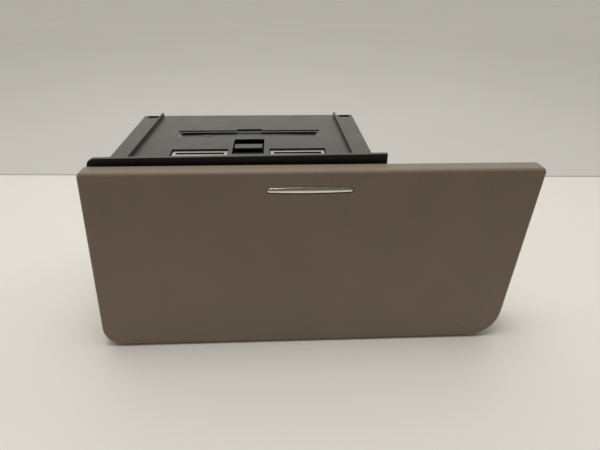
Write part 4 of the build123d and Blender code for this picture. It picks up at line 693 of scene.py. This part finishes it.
table_start = (TABLE_START_Y, 0.0)
table_end = (TABLE_END_Y, TABLE_END_SLOPE)
wall_shade_end = (TABLE_END_Y + WALL_SHADE_WIDTH, TABLE_END_SLOPE)
backdrop_end = (BACKDROP_END_Y, 0.0)
for name, near, far, height, colour, roughness, fade in (
    ("table", table_start, table_end, TABLE_Z, (0.86, 0.85, 0.82), 0.45, TABLE_SHADE_FADE),
    # Painted shade: a narrow darker strip where the table meets the backdrop.
    ("table_wall_shade", table_end, wall_shade_end, BACKDROP_Z, (0.58, 0.57, 0.53), 0.7, BACKDROP_LIGHT_FADE),
    ("backdrop", wall_shade_end, backdrop_end, BACKDROP_Z, (0.86, 0.85, 0.83), 0.7, BACKDROP_LIGHT_FADE),
):
    stage_sheet(name, near, far, height, colour, roughness, fade)


def soft_light(name, place, target, size, power, colour, seen=True):
    """A broad lamp that may be left out of the view and of reflections."""
    light = bpy.data.lights.new(name, "AREA")
    light.shape = "RECTANGLE"
    light.size, light.size_y = size
    light.energy = power
    light.color = colour
    lamp = bpy.data.objects.new(name, light)
    bpy.context.collection.objects.link(lamp)
    lamp.location = place
    lamp.rotation_mode = "QUATERNION"
    lamp.rotation_quaternion = (Vector(target) - Vector(place)).to_track_quat("-Z", "Y")
    lamp.visible_camera = seen
    lamp.visible_glossy = seen


soft_light(
    "ceiling_light",
    place=(-0.05, 0.0, 1.05),
    target=(0.0, -0.05, 0.0),
    size=(0.6, 0.6),
    power=5.1,
    colour=(1.0, 0.975, 0.93),
)
soft_light(
    "front_light",
    place=(-0.05, -0.95, 0.26),
    target=(-0.02, -0.05, 0.05),
    size=(0.8, 0.3),
    power=0.75,
    colour=(1.0, 0.93, 0.84),
    seen=False,
)

world = bpy.data.worlds.new("room")
bpy.context.scene.world = world
world.use_nodes = True
room = world.node_tree
direction = room.nodes.new("ShaderNodeTexCoord").outputs["Generated"]
split = room.nodes.new("ShaderNodeSeparateXYZ")
room.links.new(direction, split.inputs["Vector"])
ramp = room.nodes.new("ShaderNodeMapRange")
ramp.interpolation_type = "SMOOTHSTEP"
ramp.inputs["From Min"].default_value = ROOM_DARK_FROM
ramp.inputs["From Max"].default_value = ROOM_BRIGHT_FROM
ramp.inputs["To Min"].default_value = ROOM_DARK_STRENGTH
ramp.inputs["To Max"].default_value = ROOM_BRIGHT_STRENGTH
room.links.new(split.outputs["Y"], ramp.inputs["Value"])
room.nodes["Background"].inputs["Color"].default_value = ROOM_COLOUR
room.links.new(ramp.outputs["Result"], room.nodes["Background"].inputs["Strength"])

# ---------------------------------------------------------------- camera

forward = Vector(
    (math.sin(YAW) * math.cos(PITCH), math.cos(YAW) * math.cos(PITCH), -math.sin(PITCH))
)
level_right = Vector((math.cos(YAW), -math.sin(YAW), 0.0))
level_up = level_right.cross(forward)
right = level_right * math.cos(ROLL) + level_up * math.sin(ROLL)
up = level_up * math.cos(ROLL) - level_right * math.sin(ROLL)
camera = bpy.data.objects.new("camera", bpy.data.cameras.new("camera"))
bpy.context.collection.objects.link(camera)
facing = Matrix((right, up, -forward)).transposed().to_4x4()
camera.matrix_world = Matrix.Translation(CAMERA_PLACE) @ facing
camera.data.lens = LENS
camera.data.clip_start = CLIP_START
bpy.context.scene.camera = camera
bpy.context.scene.view_settings.view_transform = "Standard"
bpy.context.scene.view_settings.look = "None"
